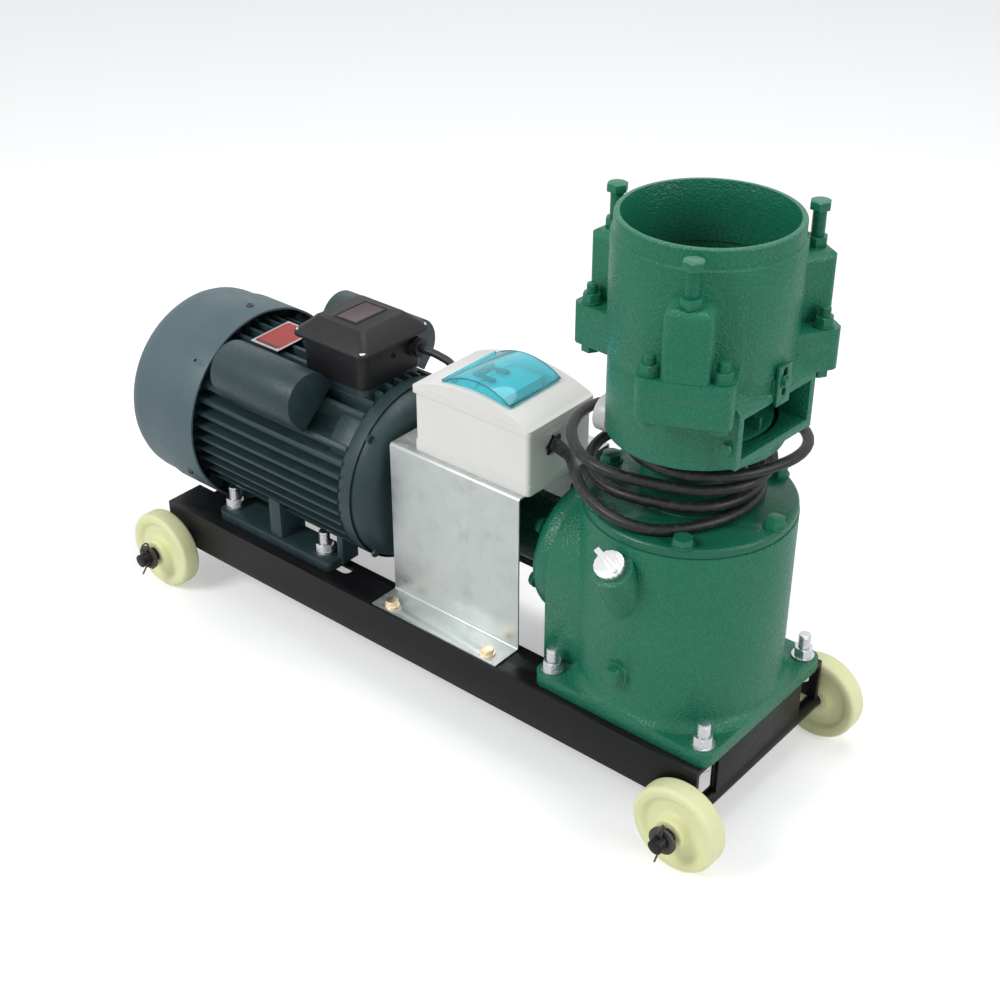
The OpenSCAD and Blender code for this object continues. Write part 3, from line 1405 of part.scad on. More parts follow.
module thrower() color(steel) placed() up(z_floor + floor_t + thrower_lift)
  difference() {
    union() {
      cylinder(d = thrower_d, h = thrower_t);
      cylinder(d = thrower_hub[0], h = thrower_hub[1] + thrower_t);
      repeat(thrower_vanes)
        translate([thrower_hub[0] / 2 - over, -vane[0] / 2, thrower_t - over])
          cube([thrower_d / 2 - thrower_hub[0] / 2 - over, vane[0], vane[1] + over]);
    }
    up(-over) cylinder(d = main_shaft_d + 2 * seat_gap, h = housing_h);
  }
// Hub with shafts and guide blocks
module roller_holder() color(steel) placed() in_chamber() {
  up(z_roller - holder_hub[1] / 2) cylinder(d = holder_hub[0], h = holder_hub[1]);
  at_towers() up(z_roller) {
      along_x() cylinder(d = roller_shaft_d, h = block_in + over);
      along_x() cylinder(d = holder_collar_d, h = roller_in - slide_gap);
      translate([roller_in + roller_len + slide_gap, 0, 0])
        along_x() cylinder(d = keeper[0], h = keeper[1]);
      translate([block_in, -block_w / 2, -block_w / 2])
        cube([block_out - block_in, block_w, block_w]);
    }
}
// Grooved roller on the shaft of tower i
module roller(i) placed() in_chamber() rotate(tower_angles[i]) translate([roller_in, 0, z_roller])
  along_x() difference() {
    cylinder(d = roller_d, h = roller_len);
    bore(roller_shaft_d + 2 * run_gap, roller_len);
    for (k = [0:roller_grooves - 1])
      rotate((k + 0.5) * 360 / roller_grooves) translate([roller_d / 2 + groove_d / 4, 0, -over])
        cylinder(d = groove_d, h = roller_len + 2 * over, $fn = 16);
  }
module roller_1() color(steel) roller(0);
module roller_2() color(steel) roller(1);
module roller_3() color(steel) roller(2);
// Bolt over the guide block of tower i
module adjusting_bolt(i) placed() in_chamber() rotate(tower_angles[i])
  translate([adjust_r, 0, z_bolt_head]) {
    hex_turned(adjust_head[0], adjust_head[1]);
    up(-adjust_bolt_len) cylinder(d = adjust_bolt_d, h = adjust_bolt_len);
  }
module adjusting_bolt_1() color(green) adjusting_bolt(0);
module adjusting_bolt_2() color(green) adjusting_bolt(1);
module adjusting_bolt_3() color(green) adjusting_bolt(2);
// Slotted plate over the chute
module cutter_plate() color(green) placed() in_chamber()
  translate([chute_reach + plate_gap, plate_s - plate_w / 2, z_floor + plate_z]) difference() {
    cube([plate_t, plate_w, plate_h]);
    translate([-over, plate_w / 2, plate_bolt_z - plate_z])
      rotate([0, 90, 0]) slot(plate_slot[1], plate_slot[0], plate_t + 2 * over);
  }

// Points of a smooth curve through p, n steps a stretch
function curve_at(a, b, c, d, t) = b + 0.5 * t * (c - a
  + t * (2 * a - 5 * b + 4 * c - d + t * (3 * (b - c) + d - a)));
function curve(p, n) = [
  for (i = [0:len(p) - 2], j = [0:n - 1])
    curve_at(p[max(i - 1, 0)], p[i], p[i + 1], p[min(i + 2, len(p) - 1)], j / n),
  p[len(p) - 1]
];
// Table value between its rows
function table_at(list, place) = let (i = min(floor(place), len(list) - 2))
  curve_at(list[max(i - 1, 0)], list[i], list[i + 1], list[min(i + 2, len(list) - 1)], place - i);
function unit(v) = v / norm(v);
// Direction of a path at its point i
function heading(path, i) = unit(path[min(i + 1, len(path) - 1)] - path[max(i - 1, 0)]);
// Ring of n points round point i of a path
function ring(path, i, d, n) = let (
    along = heading(path, i),
    side = unit(cross(along, [0, 0, 1])),
    up = cross(side, along))
  [for (k = [0:n - 1]) path[i] + d / 2 * (side * cos(k * 360 / n) + up * sin(k * 360 / n))];
// Closed tube of n sides along a path
module sweep(path, d, n) {
  rings = len(path);
  points = [for (i = [0:rings - 1]) each ring(path, i, d, n)];
  walls = [for (i = [0:rings - 2], k = [0:n - 1]) each
    let (a = i * n + k, b = i * n + (k + 1) % n) [[a, b, b + n], [a, b + n, a + n]]];
  ends = [for (k = [1:n - 2]) each
    [[0, k + 1, k], [(rings - 1) * n, (rings - 1) * n + k, (rings - 1) * n + k + 1]]];
  polyhedron(points, concat(walls, ends), convexity = 10);
}

// Motor cable: gland, sag, hole in the box, breaker
motor_cable_in = [8, 330];
motor_cable_route = [[-360, 36, 346], [-341, 36, 341], [-324, 22, 334]];
x_gland_end = terminal_x + terminal_w / 2 + gland_len;
x_breaker_left = lid_x - breaker_w / 2 - toggle_t;
x_breaker_right = lid_x + breaker_w / 2 + toggle_t;
module motor_cable_hole() translate([box_x - box_len, motor_cable_in[0], motor_cable_in[1]])
    along_x() cylinder(d = motor_cable_d + 2 * slide_gap, h = box_len);
module motor_cable() color(rubber) placed() sweep(concat(
  [[x_gland_end, gland_y, gland_z], [x_gland_end + motor_cable_d, gland_y, gland_z]],
  curve(concat([[x_gland_end + motor_cable_d, gland_y, gland_z]], motor_cable_route,
    [[box_x - box_len / 2 - motor_cable_d, motor_cable_in[0], motor_cable_in[1]]]), 3),
  [[x_breaker_left, motor_cable_in[0], motor_cable_in[1]]]), motor_cable_d, 8);

// Coil round the neck: radius and height at each eighth of a turn
coil_from = 225;
coil_step = 45;
coil_rings = 24;
coil_radii = [
  111, 95.5, 69.5, 62, 70, 80, 95, 105,
  93, 64, 59, 60, 70, 88, 108, 126,
  108, 65, 61.5, 71, 76, 74, 66, 61,
  61, 59, 62, 78, 111, 102, 100
];
coil_heights = [
  348.5, 337, 336, 336, 337, 341, 349, 353,
  350.5, 348.3, 348.3, 348.3, 350, 358, 369, 379,
  376.5, 369, 368, 370, 372, 376, 380, 383,
  384, 384, 384, 384, 384.5, 385, 381
];
coil_tail = [[-84, 58, 380], [-95, 46, 378]];
plug_at = [-100, 0, 381];
plug_in = [-100, 28, 377];
// Point of the coil after an angle from its start
function coil_at(turned) = let (
    r = table_at(coil_radii, turned / coil_step),
    a = coil_from + turned)
  [r * cos(a), r * sin(a), table_at(coil_heights, turned / coil_step)];
coil_turned = (len(coil_radii) - 1) * coil_step;
coil_start = coil_at(0);
coil_heading = unit(coil_at(1) - coil_start);
function coil_path(steps) = concat(
  [coil_start, coil_start + coil_heading * lead_d],
  [for (i = [2:steps]) coil_at(i * coil_turned / steps)],
  curve(concat([coil_at(coil_turned)], coil_tail, [plug_in + [0, lead_d, 0]]), 2),
  [plug_in]
);
module mains_coil() color(rubber) placed()
  sweep(coil_path(round(coil_rings * coil_turned / 360)), lead_d, 6);

// Mains lead up to the coil
lead_route = [[-142, -28, 340], [-122, -37, 341], [-104, -53, 344]];
module mains_lead() color(rubber) placed() sweep(concat(
  [[x_breaker_right, exit_y, exit_z]],
  curve(concat([[box_x + box_len / 2, exit_y, exit_z]], lead_route,
    [coil_start - coil_heading * lead_d]), 3),
  [coil_start]), lead_d, 8);

// Flat plug with three pins
plug_d = 38;
plug_t = 15;
plug_relief = [14, 18, 20];
plug_pin = [6.3, 1.6, 18];
module mains_plug() color(white_plastic) placed() {
  translate(plug_at - [plug_t / 2, 0, 0]) along_x() cylinder(d = plug_d, h = plug_t);
  translate(plug_in) rotate([90, 0, 0])
    cylinder(d1 = plug_relief[0], d2 = plug_t, h = plug_relief[2], $fn = 48);
  for (i = [0:2]) translate(plug_at) rotate([90 + i * 120, 0, 0])
      translate([plug_t / 2 - over, plug_d / 4 - plug_pin[1] / 2, -plug_pin[0] / 2])
        cube([plug_pin[2] + over, plug_pin[1], plug_pin[0]]);
}

rail_front();
rail_back();
end_plate();
low_cross_member();
axle_gearbox_end();
axle_motor_end();
wheel_front_right();
wheel_back_right();
wheel_front_left();
wheel_back_left();
cotter_pins();
motor_frame();
stator_core();
rear_shield();
front_shield();
fan_cover();
motor_rotor();
cooling_fan();
capacitor_front();
capacitor_back();
terminal_box();
terminal_cover();
lifting_eye();
frame_studs();
bracket();
bracket_bolts();
breaker_base();
breaker_cover();
breaker_lid();
breaker_block();
breaker_toggle();
gearbox_housing();
gearbox_cover();
housing_bolts();
input_cap();
input_sleeve();
coupling_halves();
coupling_spider();
pinion_shaft();
crown_gear();
main_shaft();
bearings();
filler_cap();
drain_plug();
lower_housing();
hopper();
die();
thrower();
roller_holder();
roller_1();
roller_2();
roller_3();
adjusting_bolt_1();
adjusting_bolt_2();
adjusting_bolt_3();
cutter_plate();
motor_cable();
mains_lead();
mains_coil();
mains_plug();
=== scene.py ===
import json
import math
import bpy
from mathutils import Matrix, Vector

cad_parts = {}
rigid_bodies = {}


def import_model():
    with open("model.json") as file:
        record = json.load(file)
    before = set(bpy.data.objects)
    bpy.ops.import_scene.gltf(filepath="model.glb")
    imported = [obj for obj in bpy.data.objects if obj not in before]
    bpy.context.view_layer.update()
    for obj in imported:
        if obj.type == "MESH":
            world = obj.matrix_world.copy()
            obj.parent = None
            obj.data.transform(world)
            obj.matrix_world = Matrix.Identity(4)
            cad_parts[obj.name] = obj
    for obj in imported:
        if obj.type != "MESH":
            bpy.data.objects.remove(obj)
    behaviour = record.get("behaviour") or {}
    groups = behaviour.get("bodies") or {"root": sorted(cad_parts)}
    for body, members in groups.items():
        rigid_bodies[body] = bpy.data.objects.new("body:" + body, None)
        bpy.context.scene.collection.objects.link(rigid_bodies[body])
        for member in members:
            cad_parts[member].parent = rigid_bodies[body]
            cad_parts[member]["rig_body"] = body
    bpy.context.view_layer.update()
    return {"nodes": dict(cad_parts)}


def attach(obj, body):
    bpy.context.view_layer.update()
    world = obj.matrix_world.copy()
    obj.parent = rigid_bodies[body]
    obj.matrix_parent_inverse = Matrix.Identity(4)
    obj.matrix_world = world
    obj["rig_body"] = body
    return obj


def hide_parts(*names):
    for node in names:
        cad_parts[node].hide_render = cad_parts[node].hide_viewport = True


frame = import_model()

print("stage: frame loaded")

# the mill was laid out from its gearbox axis, in millimetres
millShift = 294.25


def mill(x, y, z):
    return Vector(((x + millShift) / 1000, y / 1000, z / 1000))


camera = {
    "place": (1.02265, -1.1562, 1.1616),
    "tilt": 58.13,
    "turn": 40.0,
    "lens": 58.87,
    "sensor": 36,
    "near": 0.01,
}
light = {
    "key": {"place": (-0.9, -2.3, 2.3), "size": 1.3, "power": 42},
    "side": {"place": (2.6, 0.3, 1.5), "size": 1.3, "power": 18},
    "top": {"place": (0.2, 0.6, 2.9), "size": 1.8, "power": 27},
    "aim": (0.40, 0, 0.25),
    "world": 0.36,
    "worldTint": (0.93, 0.96, 1.0),
    "floor": 0.9,
    "floorRoughness": 0.9,
    "floorShine": 0.1,
    "floorGlow": 0.40,
    "floorSize": 60,
    "floorPlace": (0.4, 0, -0.0005),
}


def addCamera():
    turned = (math.radians(camera["tilt"]), 0, math.radians(camera["turn"]))
    bpy.ops.object.camera_add(location=camera["place"], rotation=turned)
    made = bpy.context.object
    made.data.sensor_width = camera["sensor"]
    made.data.lens = camera["lens"]
    made.data.clip_start = camera["near"]
    bpy.context.scene.camera = made


addCamera()
print("stage: camera placed")


# cords and other tubes
def splineAt(a, b, c, d, t):
    return b + 0.5 * t * (c - a + t * (2 * a - 5 * b + 4 * c - d + t * (3 * (b - c) + d - a)))


def smoothPath(points, steps):
    # a smooth curve through the points, with so many steps between two of them
    last = len(points) - 1
    path = []
    for i in range(last):
        a, b, c, d = points[max(i - 1, 0)], points[i], points[i + 1], points[min(i + 2, last)]
        path += [splineAt(a, b, c, d, j / steps) for j in range(steps)]
    return path + [points[last]]


def tableAt(table, place):
    # the value at a place between two rows of a table, on the same smooth curve
    i = min(int(place), len(table) - 2)
    last = len(table) - 1
    return splineAt(table[max(i - 1, 0)], table[i], table[i + 1], table[min(i + 2, last)], place - i)


# millimetres in the mill's layout; the coil is a table of radii and heights, one row for each step of degrees
mainsLead = {
    "diameter": 11.2,
    "perTurn": 64,
    "leadSteps": 8,
    "tailSteps": 6,
    "gap": 3.2,
    "from": 225,
    "step": 45,
    "radii": [111, 95.5, 69.5, 62, 70, 80, 95, 105, 93, 64, 59, 60, 70, 88, 108, 126,
              108, 65, 61.5, 71, 76, 74, 66, 61, 61, 59, 62, 78, 111, 102, 100],
    "heights": [348.5, 337, 336, 336, 337, 341, 349, 353, 350.5, 348.3, 348.3, 348.3, 350, 358, 369, 379,
                376.5, 369, 368, 370, 372, 376, 380, 383, 384, 384, 384, 384, 384.5, 385, 381],
    "exit": (-147.5, -28, 340),
    "route": [(-142, -28, 340), (-122, -37, 341), (-104, -53, 344)],
    "tail": [(-84, 58, 380), (-95, 46, 378)],
    "plug": (-100, 28, 377),
}


def coilPoint(turned):
    r = tableAt(mainsLead["radii"], turned / mainsLead["step"])
    z = tableAt(mainsLead["heights"], turned / mainsLead["step"])
    a = math.radians(mainsLead["from"] + turned)
    return Vector((r * math.cos(a), r * math.sin(a), z))


def mainsRoute():
    turned = (len(mainsLead["radii"]) - 1) * mainsLead["step"]
    start = coilPoint(0)
    heading = (coilPoint(1) - start).normalized()
    d = mainsLead["diameter"]
    route = [Vector(mainsLead["exit"])] + [Vector(p) for p in mainsLead["route"]]
    lead = smoothPath(route + [start - d * heading], mainsLead["leadSteps"])
    steps = round(mainsLead["perTurn"] * turned / 360)
    coil = [start, start + d * heading] + [coilPoint(i * turned / steps) for i in range(2, steps + 1)]
    end = Vector(mainsLead["plug"])
    last = [coilPoint(turned)] + [Vector(p) for p in mainsLead["tail"]]
    tail = smoothPath(last + [end + Vector((0, d, 0))], mainsLead["tailSteps"])
    return lead + coil + tail[1:] + [end]


def evenPath(points, gap):
    # the same path with its points at least a gap apart
    out = [points[0]]
    for p in points[1:]:
        if (p - out[-1]).length > gap:
            out.append(p)
    if (points[-1] - out[-1]).length > 0.3 * gap:
        out.append(points[-1])
    else:
        out[-1] = points[-1]
    return out


# in degrees: an edge that turns more than smoothing says is drawn sharp, and a bevel takes one that
# turns more than its own number
smoothing = {"plain": 36, "tube": 50, "thread": 60}
bevel = {"segments": 2, "casting": 28, "detail": 30}


def fresh():
    bpy.ops.object.select_all(action="DESELECT")


def only(piece):
    fresh()
    piece.hide_set(False)
    piece.select_set(True)
    bpy.context.view_layer.objects.active = piece


def addTube(name, points, diameter, sides=6, swell=None):
    # a round tube along the points, and swell is its share of the diameter at each
    line = bpy.data.curves.new(name, "CURVE")
    line.dimensions = "3D"
    line.bevel_depth = diameter / 2
    line.bevel_resolution = sides
    line.use_fill_caps = True
    spline = line.splines.new("POLY")
    spline.points.add(len(points) - 1)
    for i, point in enumerate(spline.points):
        point.co = (*points[i], 1)
        point.radius = swell[i] if swell else 1.0
    spline.use_smooth = True
    piece = bpy.data.objects.new(name, line)
    bpy.context.scene.collection.objects.link(piece)
    only(piece)
    bpy.ops.object.convert(target="MESH")
    piece = bpy.context.object
    bpy.ops.object.shade_smooth_by_angle(angle=math.radians(smoothing["tube"]))
    return piece


def addMainsCord():
    points = [mill(*p) for p in evenPath(mainsRoute(), mainsLead["gap"])]
    piece = addTube("mainsCord", points, mainsLead["diameter"] / 1000)
    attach(piece, "mill")
    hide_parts("mains_lead", "mains_coil")
    coat(piece, "rubberCable")


motorLead = {
    "diameter": 9,
    "points": [(-383, 34, 348), (-374, 34, 348), (-360, 36, 346),
               (-341, 36, 341), (-324, 22, 334), (-311.5, 8, 330)],
    "end": (-253.5, 8, 330),
    "steps": 8,
}


def addMotorCable():
    points = smoothPath([Vector(p) for p in motorLead["points"]], motorLead["steps"])
    points.append(Vector(motorLead["end"]))
    piece = addTube("motorCable", [mill(*p) for p in points], motorLead["diameter"] / 1000)
    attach(piece, "mill")
    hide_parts("motor_cable")
    coat(piece, "rubberCable")


# finishes
class Wire:
    # one output of a shader node, so that shader maths reads as maths
    def __init__(self, finish, socket):
        self.finish = finish
        self.socket = socket

    def maths(self, operation, *values):
        return self.finish.node("ShaderNodeMath", {"operation": operation}, dict(enumerate(values)))

    def __add__(self, other):
        return self.maths("ADD", self, other)

    def __radd__(self, other):
        return self.maths("ADD", other, self)

    def __sub__(self, other):
        return self.maths("SUBTRACT", self, other)

    def __rsub__(self, other):
        return self.maths("SUBTRACT", other, self)

    def __mul__(self, other):
        return self.maths("MULTIPLY", self, other)

    def above(self, edge, width):
        # 0 below the edge and 1 above it, with a soft step between
        values = {"Value": self, "From Min": edge - width, "From Max": edge + width}
        return self.finish.node("ShaderNodeMapRange", {"clamp": True}, values)


class Finish:
    # a material with one Principled shader, its patterns laid on Object coordinates
    def __init__(self, name, base, roughness, metallic=0.0, **fixed):
        self.material = bpy.data.materials.new(name)
        self.material.use_nodes = True
        self.tree = self.material.node_tree
        self.tree.nodes.clear()
        self.shader = self.tree.nodes.new("ShaderNodeBsdfPrincipled")
        ending = self.tree.nodes.new("ShaderNodeOutputMaterial")
        self.tree.links.new(self.shader.outputs[0], ending.inputs[0])
        self.give("Base Color", (*base, 1))
        self.give("Roughness", roughness)
        self.give("Metallic", metallic)
        for key, value in fixed.items():
            self.give(key.replace("_", " "), value)
        self.place = self.node("ShaderNodeTexCoord", output="Object")
        self.material.diffuse_color = (*base, 1)

    def node(self, kind, settings=None, values=None, output=0):
        made = self.tree.nodes.new(kind)
        for key, value in (settings or {}).items():
            setattr(made, key, value)
        for key, value in (values or {}).items():
            self.feed(made.inputs[key], value)
        return Wire(self, made.outputs[output])

    def feed(self, target, value):
        if isinstance(value, Wire):
            self.tree.links.new(value.socket, target)
        else:
            target.default_value = value

    def give(self, key, value):
        self.feed(self.shader.inputs[key], value)

    def at(self, stretch):
        values = {"Vector": self.place, "Scale": stretch}
        return self.node("ShaderNodeMapping", {"vector_type": "POINT"}, values)

    def noise(self, scale, detail, rough, place=None):
        values = {"Vector": place or self.place, "Scale": scale, "Detail": detail, "Roughness": rough}
        return self.node("ShaderNodeTexNoise", None, values)

    def cells(self, scale, feature="F1", output="Distance"):
        values = {"Vector": self.place, "Scale": scale}
        return self.node("ShaderNodeTexVoronoi", {"feature": feature}, values, output)

    def mixed(self, factor, a, b):
        return self.node("ShaderNodeMix", {"data_type": "RGBA"}, {0: factor, 6: a, 7: b}, 2)

    def bump(self, height, distance, strength):
        values = {"Height": height, "Distance": distance, "Strength": strength}
        return self.node("ShaderNodeBump", None, values)


def colour(r, g, b):
    return (r, g, b, 1)


# a pattern is a noise's scale, detail and roughness, and an edge is where a mask begins and how softly: wear,
# dust and grime, and on the green paint the lighter grain peaks, which are painted light
greenPaint = {
    "deep": (0.007, 0.140, 0.074),
    "pale": (0.023, 0.236, 0.136),
    "roughness": 0.27,
    "shine": 0.36,
    "wide": (15, 3, 0.6),
    "lumps": (420, 1.6, 0.5),
    "peakEdge": (0.52, 0.13),
    "pits": 378,
    "fine": (1100, 1.5, 0.5),
    "depth": 0.0013,
    "strength": 0.8,
}


def castGreen(name="castGreen", grain=1.0, deep=greenPaint["deep"], pale=greenPaint["pale"]):
    # thick gloss paint over a rough iron casting, with a grain of about 2.5 mm, its peaks painted lighter and
    # the pits between them painted darker: painted highlight and painted shade
    v = greenPaint
    f = Finish(name, deep, v["roughness"], Specular_IOR_Level=v["shine"])
    wide = f.noise(*v["wide"])
    lumps = f.noise(*v["lumps"])
    pits = f.cells(v["pits"], "SMOOTH_F1")
    fine = f.noise(*v["fine"])
    peak = lumps.above(*v["peakEdge"])
    height = lumps * 0.75 + pits * 0.35 + fine * 0.08
    # painted light: peak lightens the base colour on the grain's peaks and leaves the pits darker, painted
    # shade; wide is random tone
    tone = wide * 0.45 + peak * 0.38 * grain + (1 - grain) * 0.2
    f.give("Base Color", f.mixed(tone, colour(*deep), colour(*pale)))
    f.give("Roughness", v["roughness"] - (peak - 0.5) * 0.10 * grain + (wide - 0.5) * 0.12)
    f.give("Normal", f.bump(height, v["depth"] * grain, v["strength"]))
    return f.material


motorPaint = {
    "deep": (0.018, 0.039, 0.044),
    "pale": (0.036, 0.070, 0.077),
    "roughness": 0.42,
    "shine": 0.4,
    "wide": (14, 3, 0.6),
    "lumps": (240, 2, 0.5),
    "fine": (900, 1.5, 0.5),
    "dust": (60, 4, 0.65),
    "dustEdge": (0.60, 0.10),
    "depth": 0.0009,
    "strength": 0.5,
}


def motorGrey(name="motorGrey", grain=1.0, deep=motorPaint["deep"], pale=motorPaint["pale"]):
    # dull blue-grey paint with dust in it
    v = motorPaint
    f = Finish(name, deep, v["roughness"], Specular_IOR_Level=v["shine"])
    wide = f.noise(*v["wide"])
    lumps = f.noise(*v["lumps"])
    fine = f.noise(*v["fine"])
    dust = f.noise(*v["dust"]).above(*v["dustEdge"])
    f.give("Base Color", f.mixed(wide * 0.8 + dust * 0.25, colour(*deep), colour(*pale)))
    f.give("Roughness", v["roughness"] + (lumps - 0.5) * 0.20 + dust * 0.12)
    f.give("Normal", f.bump(lumps * 0.7 + fine * 0.2, v["depth"] * grain, v["strength"]))
    return f.material


blackPaint = {
    "base": (0.008, 0.008, 0.009),
    "deep": (0.005, 0.005, 0.006),
    "pale": (0.018, 0.018, 0.020),
    "roughness": 0.36,
    "shine": 0.24,
    "wide": (12, 4, 0.6),
    "scuff": (90, 4, 0.7),
    "scuffStretch": (0.25, 1, 1),
    "scuffEdge": (0.64, 0.08),
    "orange": (500, 1.5, 0.5),
    "depth": 0.0008,
    "strength": 0.35,
}


def frameBlack():
    # orange-peel paint, scuffed along the rails
    v = blackPaint
    f = Finish("frameBlack", v["base"], v["roughness"], Specular_IOR_Level=v["shine"])
    wide = f.noise(*v["wide"])
    scuff = f.noise(*v["scuff"], f.at(v["scuffStretch"])).above(*v["scuffEdge"])
    orange = f.noise(*v["orange"])
    tone = wide * 0.6 + scuff * 0.35
    f.give("Base Color", f.mixed(tone, colour(*v["deep"]), colour(*v["pale"])))
    f.give("Roughness", 0.30 + wide * 0.12 + scuff * 0.15)
    f.give("Normal", f.bump(orange * 0.5 + wide, v["depth"], v["strength"]))
    return f.material


nylon = {
    "base": (0.76, 0.77, 0.54),
    "clean": (0.97, 0.98, 0.60),
    "worn": (0.86, 0.89, 0.44),
    "roughness": 0.42,
    "under": 0.25,
    "underReach": (0.006, 0.005, 0.002),
    "wide": (30, 3, 0.6),
    "scuff": (220, 5, 0.7),
    "scuffStretch": (1, 1, 0.3),
    "scuffEdge": (0.62, 0.07),
    "swirl": (700, 2, 0.5),
    "depth": 0.0004,
    "strength": 0.4,
}


def nylonCream():
    # pale nylon that light enters a little
    v = nylon
    f = Finish("nylonCream", v["base"], v["roughness"], Subsurface_Weight=v["under"],
               Subsurface_Radius=v["underReach"], Subsurface_Scale=1.0)
    wide = f.noise(*v["wide"])
    scuff = f.noise(*v["scuff"], f.at(v["scuffStretch"])).above(*v["scuffEdge"])
    swirl = f.noise(*v["swirl"])
    tone = wide * 0.6 + scuff * 0.4
    f.give("Base Color", f.mixed(tone, colour(*v["clean"]), colour(*v["worn"])))
    f.give("Roughness", 0.38 + scuff * 0.2 + wide * 0.08)
    f.give("Normal", f.bump(swirl * 0.4 + scuff * 0.6, v["depth"], v["strength"]))
    return f.material


bareMetal = {"shine": 0.5, "lines": (180, 4, 0.65), "wide": (35, 3, 0.6), "depth": 0.00025, "strength": 0.45}


def metal(name, base, tint, roughness, stretch=(1, 1, 1), distance=bareMetal["depth"], metallic=1.0):
    # bare or plated metal with fine lines of working
    v = bareMetal
    f = Finish(name, base, roughness, metallic, Specular_IOR_Level=v["shine"])
    lines = f.noise(*v["lines"], f.at(stretch))
    wide = f.noise(*v["wide"])
    f.give("Base Color", f.mixed(wide * 0.7 + lines * 0.3, colour(*base), colour(*tint)))
    f.give("Roughness", roughness + (lines - 0.5) * 0.16 + (wide - 0.5) * 0.12)
    f.give("Normal", f.bump(lines, distance, v["strength"]))
    return f.material


zincSheet = {
    "base": (0.58, 0.61, 0.60),
    "dark": (0.50, 0.54, 0.53),
    "bright": (0.70, 0.73, 0.71),
    "dirt": (0.30, 0.33, 0.33),
    "roughness": 0.40,
    "metallic": 0.80,
    "spangle": 70,
    "streak": (55, 5, 0.7),
    "streakStretch": (1.0, 1.0, 0.12),
    "smudge": (18, 4, 0.65),
    "grime": (30, 5, 0.7),
    "grimeEdge": (0.63, 0.09),
    "depth": 0.0005,
    "strength": 0.30,
}


def galvanised():
    # zinc spangle with rubbed streaks
    v = zincSheet
    f = Finish("galvanised", v["base"], v["roughness"], v["metallic"])
    spangle = f.cells(v["spangle"], "F1", "Color")
    shade = f.node("ShaderNodeSeparateColor", None, {0: spangle}, 0)
    second = f.node("ShaderNodeSeparateColor", None, {0: spangle}, 1)
    streak = f.noise(*v["streak"], f.at(v["streakStretch"]))
    smudge = f.noise(*v["smudge"])
    grime = f.noise(*v["grime"]).above(*v["grimeEdge"])
    tone = shade * 0.18 + streak * 0.42 + smudge * 0.40
    clean = f.mixed(tone, colour(*v["dark"]), colour(*v["bright"]))
    f.give("Base Color", f.mixed(grime * 0.30, clean, colour(*v["dirt"])))
    f.give("Roughness", 0.27 + second * 0.12 + smudge * 0.16 + grime * 0.08)
    f.give("Metallic", 0.86 - grime * 0.15)
    f.give("Normal", f.bump(shade * 0.10 + streak * 0.4 + smudge * 0.8, v["depth"], v["strength"]))
    return f.material


plastic = {"grain": 420, "wide": (22, 3, 0.6), "depth": 0.00018, "strength": 0.4}


def mouldedPlastic(name, base, tint, roughness, grain=plastic["grain"], distance=plastic["depth"], **fixed):
    # the fine even grain of a mould
    v = plastic
    f = Finish(name, base, roughness, 0.0, **fixed)
    spark = f.noise(grain, 2, 0.5)
    wide = f.noise(*v["wide"])
    f.give("Base Color", f.mixed(wide * 0.7 + spark * 0.3, colour(*base), colour(*tint)))
    f.give("Roughness", roughness + (spark - 0.5) * 0.14 + (wide - 0.5) * 0.10)
    f.give("Normal", f.bump(spark, distance, v["strength"]))
    return f.material


clearPlastic = {
    "base": (0.24, 0.86, 0.97),
    "deep": (0.15, 0.84, 0.97),
    "pale": (0.25, 0.92, 1.0),
    "roughness": 0.06,
    "through": 0.82,
    "bend": 1.45,
    "shine": 0.25,
    "wide": (26, 3, 0.6),
    "scuff": (160, 5, 0.75),
    "scuffStretch": (0.3, 1, 1),
    "scuffEdge": (0.63, 0.06),
    "depth": 0.0004,
    "strength": 0.2,
}


def clearBlue():
    # the lid that the breaker shows through
    v = clearPlastic
    f = Finish("clearBlue", v["base"], v["roughness"],
               Transmission_Weight=v["through"], IOR=v["bend"], Specular_IOR_Level=v["shine"])
    wide = f.noise(*v["wide"])
    scuff = f.noise(*v["scuff"], f.at(v["scuffStretch"])).above(*v["scuffEdge"])
    f.give("Base Color", f.mixed(wide, colour(*v["deep"]), colour(*v["pale"])))
    f.give("Roughness", 0.04 + scuff * 0.08)
    f.give("Normal", f.bump(wide, v["depth"], v["strength"]))
    return f.material


sheath = {
    "base": (0.014, 0.014, 0.015),
    "clean": (0.010, 0.010, 0.011),
    "dusty": (0.075, 0.076, 0.078),
    "roughness": 0.38,
    "shine": 0.35,
    "wide": (24, 4, 0.65),
    "dust": (140, 5, 0.7),
    "dustEdge": (0.60, 0.10),
    "fine": (900, 2, 0.5),
    "depth": 0.0003,
    "strength": 0.4,
}


def rubberCable():
    # black rubber with dust on it
    v = sheath
    f = Finish("rubberCable", v["base"], v["roughness"], Specular_IOR_Level=v["shine"])
    wide = f.noise(*v["wide"])
    dust = f.noise(*v["dust"]).above(*v["dustEdge"])
    tone = dust * 0.45 + wide * 0.25
    f.give("Base Color", f.mixed(tone, colour(*v["clean"]), colour(*v["dusty"])))
    f.give("Roughness", 0.34 + dust * 0.22)
    f.give("Normal", f.bump(f.noise(*v["fine"]) + wide, v["depth"], v["strength"]))
    return f.material


